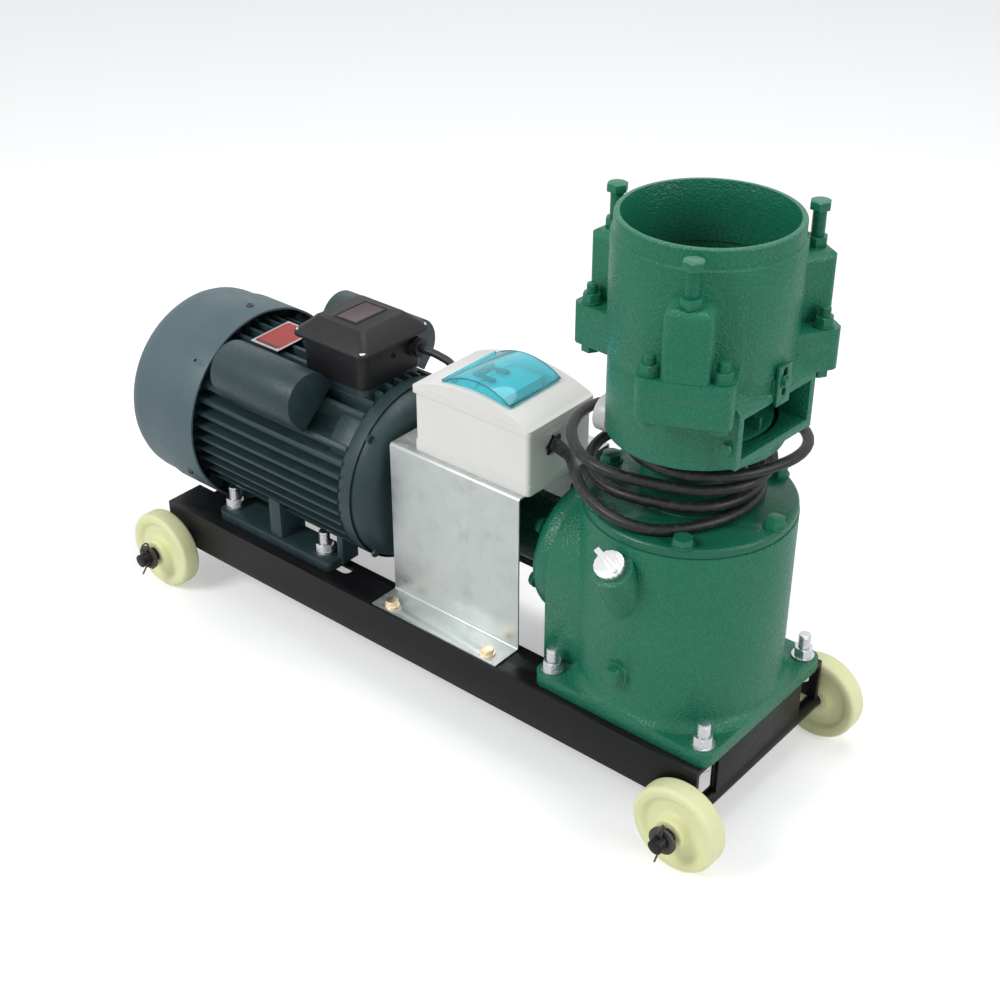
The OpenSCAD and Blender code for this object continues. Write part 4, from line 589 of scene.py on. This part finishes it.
# each with its colours, roughness and, where they differ, grain and depth
finishes = {
    "castGreen": castGreen(),
    "boltGreen": castGreen("boltGreen", 0.35, (0.008, 0.145, 0.078), (0.024, 0.230, 0.132)),
    "plateGreen": castGreen("plateGreen", 0.3, (0.006, 0.115, 0.062), (0.016, 0.180, 0.104)),
    # painted shade: the input sleeve's green is darker than castGreen for the shadow it sits in between the
    # bracket and the gearbox
    "sleeveGreen": castGreen("sleeveGreen", 0.3, (0.006, 0.070, 0.042), (0.016, 0.120, 0.075)),
    "motorGrey": motorGrey(),
    "motorSheet": motorGrey("motorSheet", 0.35, (0.074, 0.122, 0.138), (0.108, 0.166, 0.184)),
    "frameBlack": frameBlack(),
    "nylonCream": nylonCream(),
    "zincPlate": metal("zincPlate", (0.74, 0.75, 0.77), (0.60, 0.61, 0.63), 0.26),
    "yellowZinc": metal("yellowZinc", (1.0, 0.86, 0.58), (0.96, 0.74, 0.58), 0.34),
    "darkPin": metal("darkPin", (0.055, 0.052, 0.050), (0.12, 0.11, 0.10), 0.46, metallic=0.75),
    "groundSteel": metal("groundSteel", (0.46, 0.46, 0.47), (0.34, 0.34, 0.35), 0.32, (1, 1, 6)),
    "castSteel": metal("castSteel", (0.30, 0.30, 0.31), (0.42, 0.42, 0.42), 0.44, distance=0.0005),
    "galvanised": galvanised(),
    "whitePlastic": mouldedPlastic("whitePlastic", (0.88, 0.865, 0.83), (0.83, 0.82, 0.785), 0.38),
    "plugWhite": mouldedPlastic("plugWhite", (0.78, 0.78, 0.76), (0.72, 0.72, 0.70), 0.28),
    "blackPlastic": mouldedPlastic("blackPlastic", (0.010, 0.010, 0.011), (0.024, 0.024, 0.026), 0.44,
                                   300, 0.0003, Specular_IOR_Level=0.3),
    "navyPlastic": mouldedPlastic("navyPlastic", (0.006, 0.018, 0.085), (0.010, 0.034, 0.13), 0.32),
    "redRubber": mouldedPlastic("redRubber", (0.36, 0.030, 0.020), (0.28, 0.020, 0.015), 0.55),
    "clearBlue": clearBlue(),
    "brightCap": metal("brightCap", (0.86, 0.87, 0.88), (0.72, 0.74, 0.75), 0.24),
    "signRed": mouldedPlastic("signRed", (0.42, 0.040, 0.030), (0.34, 0.028, 0.022), 0.42),
    "signPale": mouldedPlastic("signPale", (0.62, 0.56, 0.54), (0.54, 0.47, 0.45), 0.42),
    "darkWindow": mouldedPlastic("darkWindow", (0.035, 0.014, 0.016), (0.055, 0.022, 0.024), 0.22,
                                 120, 0.0001),
    "rubberCable": rubberCable(),
}
print("stage: finishes mixed")


# room and light
def addRoom():
    # the world lights softly, and the camera, metal and glass see it white
    world = bpy.context.scene.world or bpy.data.worlds.new("world")
    bpy.context.scene.world = world
    world.use_nodes = True
    tree = world.node_tree
    tree.nodes.clear()
    seen = tree.nodes.new("ShaderNodeLightPath")
    plain = tree.nodes.new("ShaderNodeBackground")
    plain.inputs[0].default_value = (*light["worldTint"], 1)
    plain.inputs[1].default_value = light["world"]
    white = tree.nodes.new("ShaderNodeBackground")
    white.inputs[0].default_value = (1, 1, 1, 1)
    white.inputs[1].default_value = 1.0
    most = tree.nodes.new("ShaderNodeMath")
    most.operation = "MAXIMUM"
    both = tree.nodes.new("ShaderNodeMath")
    both.operation = "MAXIMUM"
    mix = tree.nodes.new("ShaderNodeMixShader")
    out = tree.nodes.new("ShaderNodeOutputWorld")
    tree.links.new(seen.outputs["Is Camera Ray"], most.inputs[0])
    tree.links.new(seen.outputs["Is Glossy Ray"], most.inputs[1])
    tree.links.new(most.outputs[0], both.inputs[0])
    tree.links.new(seen.outputs["Is Transmission Ray"], both.inputs[1])
    tree.links.new(both.outputs[0], mix.inputs[0])
    tree.links.new(plain.outputs[0], mix.inputs[1])
    tree.links.new(white.outputs[0], mix.inputs[2])
    tree.links.new(mix.outputs[0], out.inputs[0])


def addFloor():
    fresh()
    bpy.ops.mesh.primitive_plane_add(size=light["floorSize"], location=light["floorPlace"])
    floor = bpy.context.object
    floor.name = "floor"
    bpy.ops.object.transform_apply(location=True, rotation=False, scale=True)
    paper = bpy.data.materials.new("paleFloor")
    paper.use_nodes = True
    tree = paper.node_tree
    shader = tree.nodes["Principled BSDF"]
    shader.inputs["Base Color"].default_value = colour(light["floor"], light["floor"], light["floor"])
    shader.inputs["Roughness"].default_value = light["floorRoughness"]
    shader.inputs["Specular IOR Level"].default_value = light["floorShine"]
    seen = tree.nodes.new("ShaderNodeLightPath")
    glow = tree.nodes.new("ShaderNodeEmission")
    glow.inputs[1].default_value = light["floorGlow"]
    add = tree.nodes.new("ShaderNodeAddShader")
    mix = tree.nodes.new("ShaderNodeMixShader")
    out = tree.nodes["Material Output"]
    tree.links.new(shader.outputs[0], add.inputs[0])
    tree.links.new(glow.outputs[0], add.inputs[1])
    tree.links.new(seen.outputs["Is Camera Ray"], mix.inputs[0])
    tree.links.new(shader.outputs[0], mix.inputs[1])
    tree.links.new(add.outputs[0], mix.inputs[2])
    tree.links.new(mix.outputs[0], out.inputs[0])
    floor.data.materials.append(paper)


def addLights():
    aim = Vector(light["aim"])
    for name in ("key", "side", "top"):
        values = light[name]
        place = Vector(values["place"])
        facing = (aim - place).to_track_quat("-Z", "Y").to_euler()
        bpy.ops.object.light_add(type="AREA", location=place, rotation=facing)
        lamp = bpy.context.object
        lamp.name = name + "Lamp"
        lamp.data.shape = "DISK"
        lamp.data.size = values["size"]
        lamp.data.energy = values["power"]


bpy.context.scene.view_settings.view_transform = "Standard"
addRoom()
addFloor()
addLights()
print("stage: room lit")


# CAD nodes dressed
def bodyOf(node):
    return frame["nodes"][node]["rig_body"]


def coat(piece, finish):
    piece.data.materials.clear()
    piece.data.materials.append(finishes[finish])


joining = {"weld": 0.00001, "flat": 0.4}


def merged(node, name):
    # a copy of a CAD node with its loose triangles joined into plain faces
    piece = frame["nodes"][node].copy()
    piece.data = frame["nodes"][node].data.copy()
    for key in list(piece.keys()):
        del piece[key]
    piece.parent = None
    piece.name = name
    bpy.context.scene.collection.objects.link(piece)
    only(piece)
    bpy.ops.mesh.customdata_custom_splitnormals_clear()
    bpy.ops.object.mode_set(mode="EDIT")
    bpy.ops.mesh.select_all(action="SELECT")
    bpy.ops.mesh.remove_doubles(threshold=joining["weld"])
    bpy.ops.mesh.dissolve_limited(angle_limit=math.radians(joining["flat"]))
    bpy.ops.object.mode_set(mode="OBJECT")
    return piece


def soften(piece, width, angle):
    # a rounded edge wherever two faces meet at more than the angle
    only(piece)
    edge = piece.modifiers.new("edge", "BEVEL")
    edge.width = width
    edge.segments = bevel["segments"]
    edge.limit_method = "ANGLE"
    edge.angle_limit = math.radians(angle)
    edge.use_clamp_overlap = True
    edge.harden_normals = False
    edge.miter_outer = "MITER_ARC"
    bpy.ops.object.modifier_apply(modifier="edge")
    bpy.ops.object.shade_smooth_by_angle(angle=math.radians(smoothing["plain"]))


def dress(node, finish, edge):
    # the softened and painted copy that stands for a CAD node
    name = "".join(word.capitalize() for word in node.split("_"))
    piece = merged(node, name[0].lower() + name[1:])
    soften(piece, edge, bevel["casting"])
    coat(piece, finish)
    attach(piece, bodyOf(node))
    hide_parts(node)
    return piece


# node: finish and edge radius in millimetres, an edge of nothing keeps the CAD node itself
dressing = {
    "rail_front": ("frameBlack", 0.8), "rail_back": ("frameBlack", 0.8), "end_plate": ("frameBlack", 0.5),
    "low_cross_member": ("frameBlack", 0.8), "axle_gearbox_end": ("frameBlack", 0.8),
    "axle_motor_end": ("frameBlack", 0.8),
    "wheel_front_right": ("nylonCream", 1.2), "wheel_back_right": ("nylonCream", 1.2),
    "wheel_front_left": ("nylonCream", 1.2), "wheel_back_left": ("nylonCream", 1.2),
    "cotter_pins": ("darkPin", 0.2),
    "motor_frame": ("motorGrey", 0.8), "stator_core": ("castSteel", 0), "rear_shield": ("motorGrey", 1.0),
    "front_shield": ("motorGrey", 1.0), "fan_cover": ("motorSheet", 0.6), "motor_rotor": ("groundSteel", 0),
    "cooling_fan": ("blackPlastic", 0.3),
    "capacitor_front": ("motorGrey", 1.0), "capacitor_back": ("motorGrey", 1.0),
    "terminal_box": ("blackPlastic", 0.8), "terminal_cover": ("blackPlastic", 1.0),
    "lifting_eye": ("motorGrey", 0.5), "frame_studs": ("zincPlate", 0.25), "bracket": ("galvanised", 0.4),
    "bracket_bolts": ("yellowZinc", 0.3),
    "breaker_base": ("whitePlastic", 1.2), "breaker_cover": ("whitePlastic", 1.5),
    "breaker_lid": ("clearBlue", 0.6), "breaker_block": ("whitePlastic", 0.5),
    "breaker_toggle": ("navyPlastic", 0.3),
    "gearbox_housing": ("castGreen", 1.4), "gearbox_cover": ("plateGreen", 1.4),
    "housing_bolts": ("boltGreen", 0.5),
    # the input sleeve's darker green is painted shade
    "input_cap": ("castGreen", 1.2), "input_sleeve": ("sleeveGreen", 1.0),
    "coupling_halves": ("castSteel", 0),
    "coupling_spider": ("redRubber", 0), "pinion_shaft": ("groundSteel", 0), "crown_gear": ("castSteel", 0),
    "main_shaft": ("groundSteel", 0), "bearings": ("groundSteel", 0), "filler_cap": ("brightCap", 0.5),
    "drain_plug": ("boltGreen", 0.4), "lower_housing": ("castGreen", 1.4), "hopper": ("castGreen", 1.4),
    "die": ("groundSteel", 0), "thrower": ("castGreen", 0.5), "roller_holder": ("castSteel", 0),
    "roller_1": ("groundSteel", 0), "roller_2": ("groundSteel", 0), "roller_3": ("groundSteel", 0),
    "adjusting_bolt_1": ("boltGreen", 0.6), "adjusting_bolt_2": ("boltGreen", 0.6),
    "adjusting_bolt_3": ("boltGreen", 0.6),
    "cutter_plate": ("boltGreen", 0.3), "mains_plug": ("plugWhite", 1.0),
}
dressed = {}
for node, (finish, edge) in dressing.items():
    if edge:
        dressed[node] = dress(node, finish, edge / 1000)
    else:
        coat(frame["nodes"][node], finish)
print("stage: nodes dressed")

addMainsCord()
addMotorCable()
print("stage: cords laid")


# small hardware, modelled once at the origin along +Z
def editFaces(piece, wanted):
    # selects the faces for which wanted(centre, normal) holds and stays in edit mode
    only(piece)
    bpy.ops.object.mode_set(mode="EDIT")
    bpy.ops.mesh.select_mode(type="FACE")
    bpy.ops.mesh.select_all(action="DESELECT")
    bpy.ops.object.mode_set(mode="OBJECT")
    for face in piece.data.polygons:
        face.select = wanted(face.center, face.normal)
    bpy.ops.object.mode_set(mode="EDIT")


def leaveEdit(piece, smooth):
    # turns the faces outward, leaves edit mode and smooths below an angle
    bpy.ops.mesh.select_all(action="SELECT")
    bpy.ops.mesh.normals_make_consistent(inside=False)
    bpy.ops.object.mode_set(mode="OBJECT")
    only(piece)
    bpy.ops.object.shade_smooth_by_angle(angle=math.radians(smooth))
    return piece


def upFace(centre, normal):
    return normal.z > 0.9 and centre.z > 0


def carve(piece, tool, way="DIFFERENCE"):
    only(piece)
    cut = piece.modifiers.new("cut", "BOOLEAN")
    cut.operation = way
    cut.solver = "EXACT"
    cut.object = tool
    bpy.ops.object.modifier_apply(modifier="cut")
    bpy.data.objects.remove(tool)


def addBlock(size, place):
    fresh()
    bpy.ops.mesh.primitive_cube_add(size=1, location=place, scale=size)
    bpy.ops.object.transform_apply(location=True, rotation=True, scale=True)
    return bpy.context.object


panScrew = {
    "radius": 0.0038,
    "height": 0.0026,
    "sides": 28,
    "round": 0.6,
    "slot": 0.0009,
    "reach": 1.25,
    "depth": 0.0012,
}


def makePanScrew():
    # a screw head with a rounded rim and a cross cut in it
    r, h = panScrew["radius"], panScrew["height"]
    fresh()
    bpy.ops.mesh.primitive_cylinder_add(vertices=panScrew["sides"], radius=r, depth=h, location=(0, 0, h / 2))
    screw = bpy.context.object
    bpy.ops.object.transform_apply(location=True, rotation=False, scale=False)
    editFaces(screw, upFace)
    bpy.ops.mesh.bevel(offset=h * panScrew["round"], segments=4, affect="EDGES")
    bpy.ops.object.mode_set(mode="OBJECT")
    long = r * panScrew["reach"]
    for w, d in ((long, panScrew["slot"]), (panScrew["slot"], long)):
        carve(screw, addBlock((w, d, panScrew["depth"] * 2), (0, 0, h)))
    bpy.ops.object.mode_set(mode="EDIT")
    return leaveEdit(screw, smoothing["plain"])


# turns of thread that show: radius and pitch in metres, and their number
threads = {"lug": (0.005, 0.0015, 5), "adjusting": (0.006, 0.00175, 12), "foot": (0.006, 0.00175, 7)}
# its ridge, as shares of the pitch
ridge = {"radius": 0.55, "sunk": 0.22, "steps": 16}


def makeThread(radius, pitch, turns):
    # a three-sided ridge wound by the screw modifier
    fresh()
    lay = Matrix(((0, 1, 0), (0, 0, 1), (1, 0, 0))).to_euler()
    place = (radius - pitch * ridge["sunk"], 0, pitch / 2)
    bpy.ops.mesh.primitive_circle_add(vertices=3, radius=pitch * ridge["radius"], fill_type="NOTHING",
                                      location=place, rotation=lay)
    thread = bpy.context.object
    bpy.ops.object.transform_apply(location=True, rotation=True, scale=True)
    wind = thread.modifiers.new("wind", "SCREW")
    wind.axis = "Z"
    wind.angle = math.tau
    wind.screw_offset = pitch
    wind.iterations = turns
    wind.steps = ridge["steps"]
    wind.render_steps = ridge["steps"]
    wind.use_merge_vertices = True
    bpy.ops.object.modifier_apply(modifier="wind")
    bpy.ops.object.mode_set(mode="EDIT")
    bpy.ops.mesh.select_mode(type="EDGE")
    bpy.ops.mesh.select_all(action="DESELECT")
    bpy.ops.mesh.select_non_manifold()
    bpy.ops.mesh.edge_face_add()
    return leaveEdit(thread, smoothing["thread"])


def finishOff(piece, finish, body):
    coat(piece, finish)
    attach(piece, body)


def settle(piece, name, finish, body):
    # leaves a piece where it stands, named and painted
    only(piece)
    bpy.ops.object.transform_apply(location=True, rotation=True, scale=True)
    piece.name = name
    finishOff(piece, finish, body)


def setOn(model, name, place, aim, finish, body, spin=0.0, stretch=1.0):
    # one more of a modelled piece, with its own mesh, its +Z along aim
    piece = model.copy()
    piece.data = model.data.copy()
    bpy.context.scene.collection.objects.link(piece)
    turn = Vector(aim).to_track_quat("Z", "Y").to_matrix() @ Matrix.Rotation(spin, 3, "Z")
    size = Matrix.Diagonal((stretch, stretch, stretch, 1))
    piece.matrix_world = Matrix.Translation(place) @ turn.to_4x4() @ size
    settle(piece, name, finish, body)


def drop(*models):
    for model in models:
        bpy.data.objects.remove(model)


up = (0, 0, 1)
corners = [(-1, -1), (1, -1), (-1, 1), (1, 1)]

# where the studs stand: z is the face under the washer, and bare how far above it the turns begin
chamberTurn = -3.6
towers = (-60, 60, 180)
lugStud = {"radius": 106, "side": 32, "z": 508, "bare": 10.8}
adjustingScrew = {"radius": 106.6, "z": 586}
frameStuds = {
    "foot": {"z": 118, "bare": 12.8, "places": [(-586, -84.2), (-433.5, -84.2), (-586, 84.2), (-433.5, 84.2)]},
    "base": {"z": 121.5, "bare": 12.8, "places": [(-93, -93), (93, -93), (-93, 93), (93, 93)]},
}


def addStudThreads():
    lug = makeThread(*threads["lug"])
    adjusting = makeThread(*threads["adjusting"])
    foot = makeThread(*threads["foot"])
    count = 0
    r, reach, z = lugStud["radius"], lugStud["side"], lugStud["z"] + lugStud["bare"]
    for number, tower in enumerate(towers, 1):
        a = math.radians(tower + chamberTurn)
        for side in (-1, 1):
            x = r * math.cos(a) - side * reach * math.sin(a)
            y = r * math.sin(a) + side * reach * math.cos(a)
            count += 1
            place = mill(x, y, z)
            setOn(lug, "lugStudThread" + str(count), place, up, "boltGreen", "mill", count)
        far = adjustingScrew["radius"]
        place = mill(far * math.cos(a), far * math.sin(a), adjustingScrew["z"])
        setOn(adjusting, "adjustingThread" + str(number), place, up, "boltGreen",
              "adjusting_bolt_" + str(number), number)
    for name, row in frameStuds.items():
        for i, (x, y) in enumerate(row["places"]):
            place = mill(x, y, row["z"] + row["bare"])
            setOn(foot, name + "StudThread" + str(i + 1), place, up, "zincPlate", "mill", i)
    drop(lug, adjusting, foot)


terminalScrews = {"x": -442, "z": 368, "reach": 48, "spin": 0.3, "stretch": 1.15}
fanScrews = {"x": -634, "z": 213.5, "radius": 120.4, "angles": (93, -27, 213), "stretch": 1.15}


def addCoverScrews():
    screw = makePanScrew()
    # four in the corners of the terminal cover
    reach = terminalScrews["reach"]
    for i, (sx, sy) in enumerate(corners):
        place = mill(terminalScrews["x"] + sx * reach, sy * reach, terminalScrews["z"])
        setOn(screw, "terminalScrew" + str(i + 1), place, up, "zincPlate", "mill",
              terminalScrews["spin"] + i, terminalScrews["stretch"])
    # three in dimples round the fan cover
    r = fanScrews["radius"]
    for i, a in enumerate(fanScrews["angles"]):
        y, z = -math.cos(math.radians(a)), math.sin(math.radians(a))
        place = mill(fanScrews["x"], y * r, fanScrews["z"] + z * r)
        setOn(screw, "fanCoverScrew" + str(i + 1), place, (0, y, z), "darkPin", "mill",
              i, fanScrews["stretch"])
    drop(screw)


addStudThreads()
addCoverScrews()
print("stage: hardware set")


# small pieces on the CAD shapes, most of them seen in the photograph
strainRelief = {
    "length": 27,
    "wide": 15.0,
    "narrow": 12.2,
    "ribs": 7,
    "groove": 0.84,
    "tip": 0.9,
    "tipFrom": 0.97,
    "least": 1.04,
    "steps": 24,
    "sides": 8,
}


def addStrainRelief():
    # a ribbed rubber boot that thins out along the first stretch of the lead
    route = [Vector(mainsLead["exit"])] + [Vector(p) for p in mainsLead["route"]]
    lead = smoothPath(route, strainRelief["steps"])
    points, sizes, far = [lead[0]], [strainRelief["wide"]], 0.0
    for a, b in zip(lead, lead[1:]):
        far += (b - a).length
        if far > strainRelief["length"]:
            break
        share = far / strainRelief["length"]
        taper = strainRelief["wide"] + (strainRelief["narrow"] - strainRelief["wide"]) * share
        wave = 0.5 + 0.5 * math.cos(share * strainRelief["ribs"] * math.tau)
        rib = strainRelief["groove"] + (1 - strainRelief["groove"]) * wave
        points.append(b)
        sizes.append(taper * (rib if share < strainRelief["tipFrom"] else strainRelief["tip"]))
    thin = mainsLead["diameter"]
    swell = [max(size / thin, strainRelief["least"]) for size in sizes]
    piece = addTube("strainRelief", [mill(*p) for p in points], thin / 1000, strainRelief["sides"], swell)
    finishOff(piece, "rubberCable", "mill")


leadHole = {
    "place": (-147.4, -28, 340),
    "radius": 8.4,
    "ear": 3.4,
    "ears": (7.6, 5.4),
    "thick": 0.7,
    "sides": 40,
    "edge": 0.0002,
}


def addLeadHole():
    # painted shade: a dark disc with two ears on the side of the box, standing for the shaded opening of the
    # knock-out round the lead
    fresh()
    discs = []
    y, z = leadHole["ears"]
    for r, side in ((leadHole["radius"], 0), (leadHole["ear"], 1), (leadHole["ear"], -1)):
        bpy.ops.mesh.primitive_cylinder_add(
            vertices=leadHole["sides"], radius=r / 1000, depth=leadHole["thick"] / 1000,
            location=(0, side * y / 1000, side * z / 1000), rotation=(0, math.pi / 2, 0))
        bpy.ops.object.transform_apply(location=True, rotation=True, scale=True)
        discs.append(bpy.context.object)
    for ear in discs[1:]:
        carve(discs[0], ear, "UNION")
    soften(discs[0], leadHole["edge"], bevel["detail"])
    discs[0].location = mill(*leadHole["place"])
    settle(discs[0], "leadHole", "blackPlastic", "mill")


terminalWindow = {
    "centre": (-442, 0, 386),
    "size": (29.4, 45.4),
    "thick": 0.9,
    "rim": 0.002,
    "sunk": -0.00035,
    "edge": 0.00025,
}


def addTerminalWindow():
    # dark pane inside the raised frame of the terminal cover
    x, y, z = terminalWindow["centre"]
    w, d = terminalWindow["size"]
    h = terminalWindow["thick"]
    pane = addBlock((w / 1000, d / 1000, h / 1000), mill(x, y, z + h / 2))
    editFaces(pane, upFace)
    bpy.ops.mesh.inset(thickness=terminalWindow["rim"], depth=terminalWindow["sunk"])
    bpy.ops.object.mode_set(mode="OBJECT")
    soften(pane, terminalWindow["edge"], bevel["detail"])
    settle(pane, "terminalWindow", "darkWindow", "mill")


# rim and step are shares of the radius
bluntHole = {
    "place": (-394, 0, 349),
    "radius": 3.2,
    "thick": 0.0012,
    "lift": 0.0004,
    "sides": 36,
    "rim": 0.28,
    "step": 0.10,
    "depth": 1.0,
}


def addHolePlug():
    # blind knock-out in the side of the terminal box
    r = bluntHole["radius"] / 1000
    fresh()
    bpy.ops.mesh.primitive_cylinder_add(vertices=bluntHole["sides"], radius=r, depth=bluntHole["thick"],
                                        location=(0, 0, bluntHole["lift"]))
    plug = bpy.context.object
    bpy.ops.object.transform_apply(location=True, rotation=False, scale=False)
    editFaces(plug, upFace)
    bpy.ops.mesh.inset(thickness=r * bluntHole["rim"], depth=0)
    bpy.ops.mesh.inset(thickness=r * bluntHole["step"], depth=-bluntHole["depth"] / 1000)
    leaveEdit(plug, smoothing["plain"])
    place = mill(*bluntHole["place"])
    setOn(plug, "terminalKnockOut", place, (1, 0, 0), "blackPlastic", "mill")
    drop(plug)


# the plate in millimetres, its small details in metres
barePlate = {
    "place": (-561, -10, 323.6),
    "size": (45, 60),
    "thick": 0.8,
    "lean": 2.0,
    "border": 3.0,
    "edge": 0.0003,
    "field": {"thick": 0.0003, "lift": 0.00045, "rim": 0.0022, "step": 0.0006, "sunk": -0.00012},
    "feet": {"y": (-34, 14), "drop": 3.4, "width": 0.8, "depth": 0.004, "height": 0.0068, "edge": 0.0006},
    "rivets": {"inset": 0.0032, "lift": 0.0003, "stretch": 0.42},
}


def addBarePlate():
    # the motor's plate is left without print: a red field inside a pale border
    w, d = (side / 1000 for side in barePlate["size"])
    plate = addBlock((w, d, barePlate["thick"] / 1000), (0, 0, 0))
    soften(plate, barePlate["edge"], bevel["detail"])
    lean = Matrix.Rotation(math.radians(barePlate["lean"]), 4, "X")
    place = Matrix.Translation(mill(*barePlate["place"]))
    plate.matrix_world = place @ lean
    settle(plate, "motorPlate", "signPale", "mill")
    edge = 2 * barePlate["border"] / 1000
    values = barePlate["field"]
    field = addBlock((w - edge, d - edge, values["thick"]), (0, 0, values["lift"]))
    editFaces(field, upFace)
    bpy.ops.mesh.inset(thickness=values["rim"], depth=0)
    bpy.ops.mesh.inset(thickness=values["step"], depth=values["sunk"])
    bpy.ops.object.mode_set(mode="OBJECT")
    field.matrix_world = place @ lean
    settle(field, "motorPlateField", "signRed", "mill")
    # two feet carry the plate on the fins
    feet, (x, _, z) = barePlate["feet"], barePlate["place"]
    for i, y in enumerate(feet["y"]):
        foot = addBlock((w * feet["width"], feet["depth"], feet["height"]), mill(x, y, z - feet["drop"]))
        soften(foot, feet["edge"], bevel["detail"])
        settle(foot, "motorPlateFoot" + str(i + 1), "motorGrey", "mill")
    rivet = makePanScrew()
    values = barePlate["rivets"]
    x, y = w / 2 - values["inset"], d / 2 - values["inset"]
    away = lean.to_3x3() @ Vector(up)
    for i, (sx, sy) in enumerate(corners):
        corner = place @ lean @ Vector((sx * x, sy * y, values["lift"]))
        setOn(rivet, "motorPlateRivet" + str(i + 1), corner, away, "zincPlate", "mill",
              i, values["stretch"])
    drop(rivet)


lidShape = {"x": -222.5, "z": 384.674, "length": 89, "rise": 14, "front": -60, "back": 22}
lidLip = {"line": 1.0, "short": 1.2, "in": 0.5, "sunk": 0.35, "steps": 26, "sides": 3}


def lidHeight(x):
    # the lid's top is part of a circle
    half, rise = lidShape["length"] / 2, lidShape["rise"]
    r = (half * half + rise * rise) / (2 * rise)
    return lidShape["z"] + rise - r + math.sqrt(r * r - (x - lidShape["x"]) ** 2)


def addLidLip():
    # dark rim of the clear lid: both arched ends and the edge between them
    half, steps = lidShape["length"] / 2 - lidLip["short"], lidLip["steps"]
    places = [lidShape["x"] - half + 2 * half * i / steps for i in range(steps + 1)]
    near, far = lidShape["front"] + lidLip["in"], lidShape["back"] - lidLip["in"]
    front = [mill(x, near, lidHeight(x) - lidLip["sunk"]) for x in places]
    back = [mill(x, far, lidHeight(x) - lidLip["sunk"]) for x in reversed(places)]
    lip = addTube("lidLip", front + back, lidLip["line"] / 1000, lidLip["sides"])
    finishOff(lip, "navyPlastic", "breaker_lid")


toggleGap = {"x": -247, "y": -17, "top": 386.9, "width": 11, "height": 5.2, "length": 0.03}
toggleGuides = {
    "x": -233,
    "y": (-28.2, -5.8),
    "z": 384.688,
    "lift": 0.5,
    "size": (0.016, 0.007, 0.0012),
    "round": 0.002,
    "edge": 0.0003,
}


def shapeToggle():
    # two levers joined by a bar, cut from the CAD toggle
    old = dressed.get("breaker_toggle")
    if old:
        high = toggleGap["height"]
        size = (toggleGap["length"], toggleGap["width"] / 1000, high / 1000)
        carve(old, addBlock(size, mill(toggleGap["x"], toggleGap["y"], toggleGap["top"] - high / 2)))
    for i, y in enumerate(toggleGuides["y"]):
        place = mill(toggleGuides["x"], y, toggleGuides["z"] + toggleGuides["lift"])
        guide = addBlock(toggleGuides["size"], place)
        editFaces(guide, lambda centre, normal: normal.x > 0.9)
        bpy.ops.mesh.bevel(offset=toggleGuides["round"], segments=4, affect="EDGES")
        bpy.ops.object.mode_set(mode="OBJECT")
        soften(guide, toggleGuides["edge"], bevel["detail"])
        settle(guide, "toggleGuide" + str(i + 1), "navyPlastic", "mill")


weld = {"radius": 2.6, "step": 3.2, "perStep": 3, "least": 4, "mean": 0.82, "swell": 0.18, "sides": 3}
# x, distance from the middle, low and high end
welds = {"endPlateWeld": (98.2, 77.2, 62, 96), "crossWeld": (-668, 111.0, 78, 100)}


def addWeld(name, start, end):
    # a bead of overlapping drops along an inside corner of the frame
    a, b = mill(*start), mill(*end)
    parts = weld["perStep"]
    count = max(weld["least"], round((b - a).length * 1000 / weld["step"] * parts))
    drops = [weld["mean"] + weld["swell"] * math.cos(i / parts * math.tau) for i in range(count + 1)]
    points = [a.lerp(b, i / count) for i in range(count + 1)]
    bead = addTube(name, points, 2 * weld["radius"] / 1000, weld["sides"], drops)
    finishOff(bead, "frameBlack", "mill")


addStrainRelief()
addLeadHole()
addTerminalWindow()
addHolePlug()
addBarePlate()
addLidLip()
shapeToggle()
for i, side in enumerate((-1, 1)):
    for name, (x, y, low, high) in welds.items():
        addWeld(name + str(i + 1), (x, side * y, low), (x, side * y, high))
print("stage: details set")
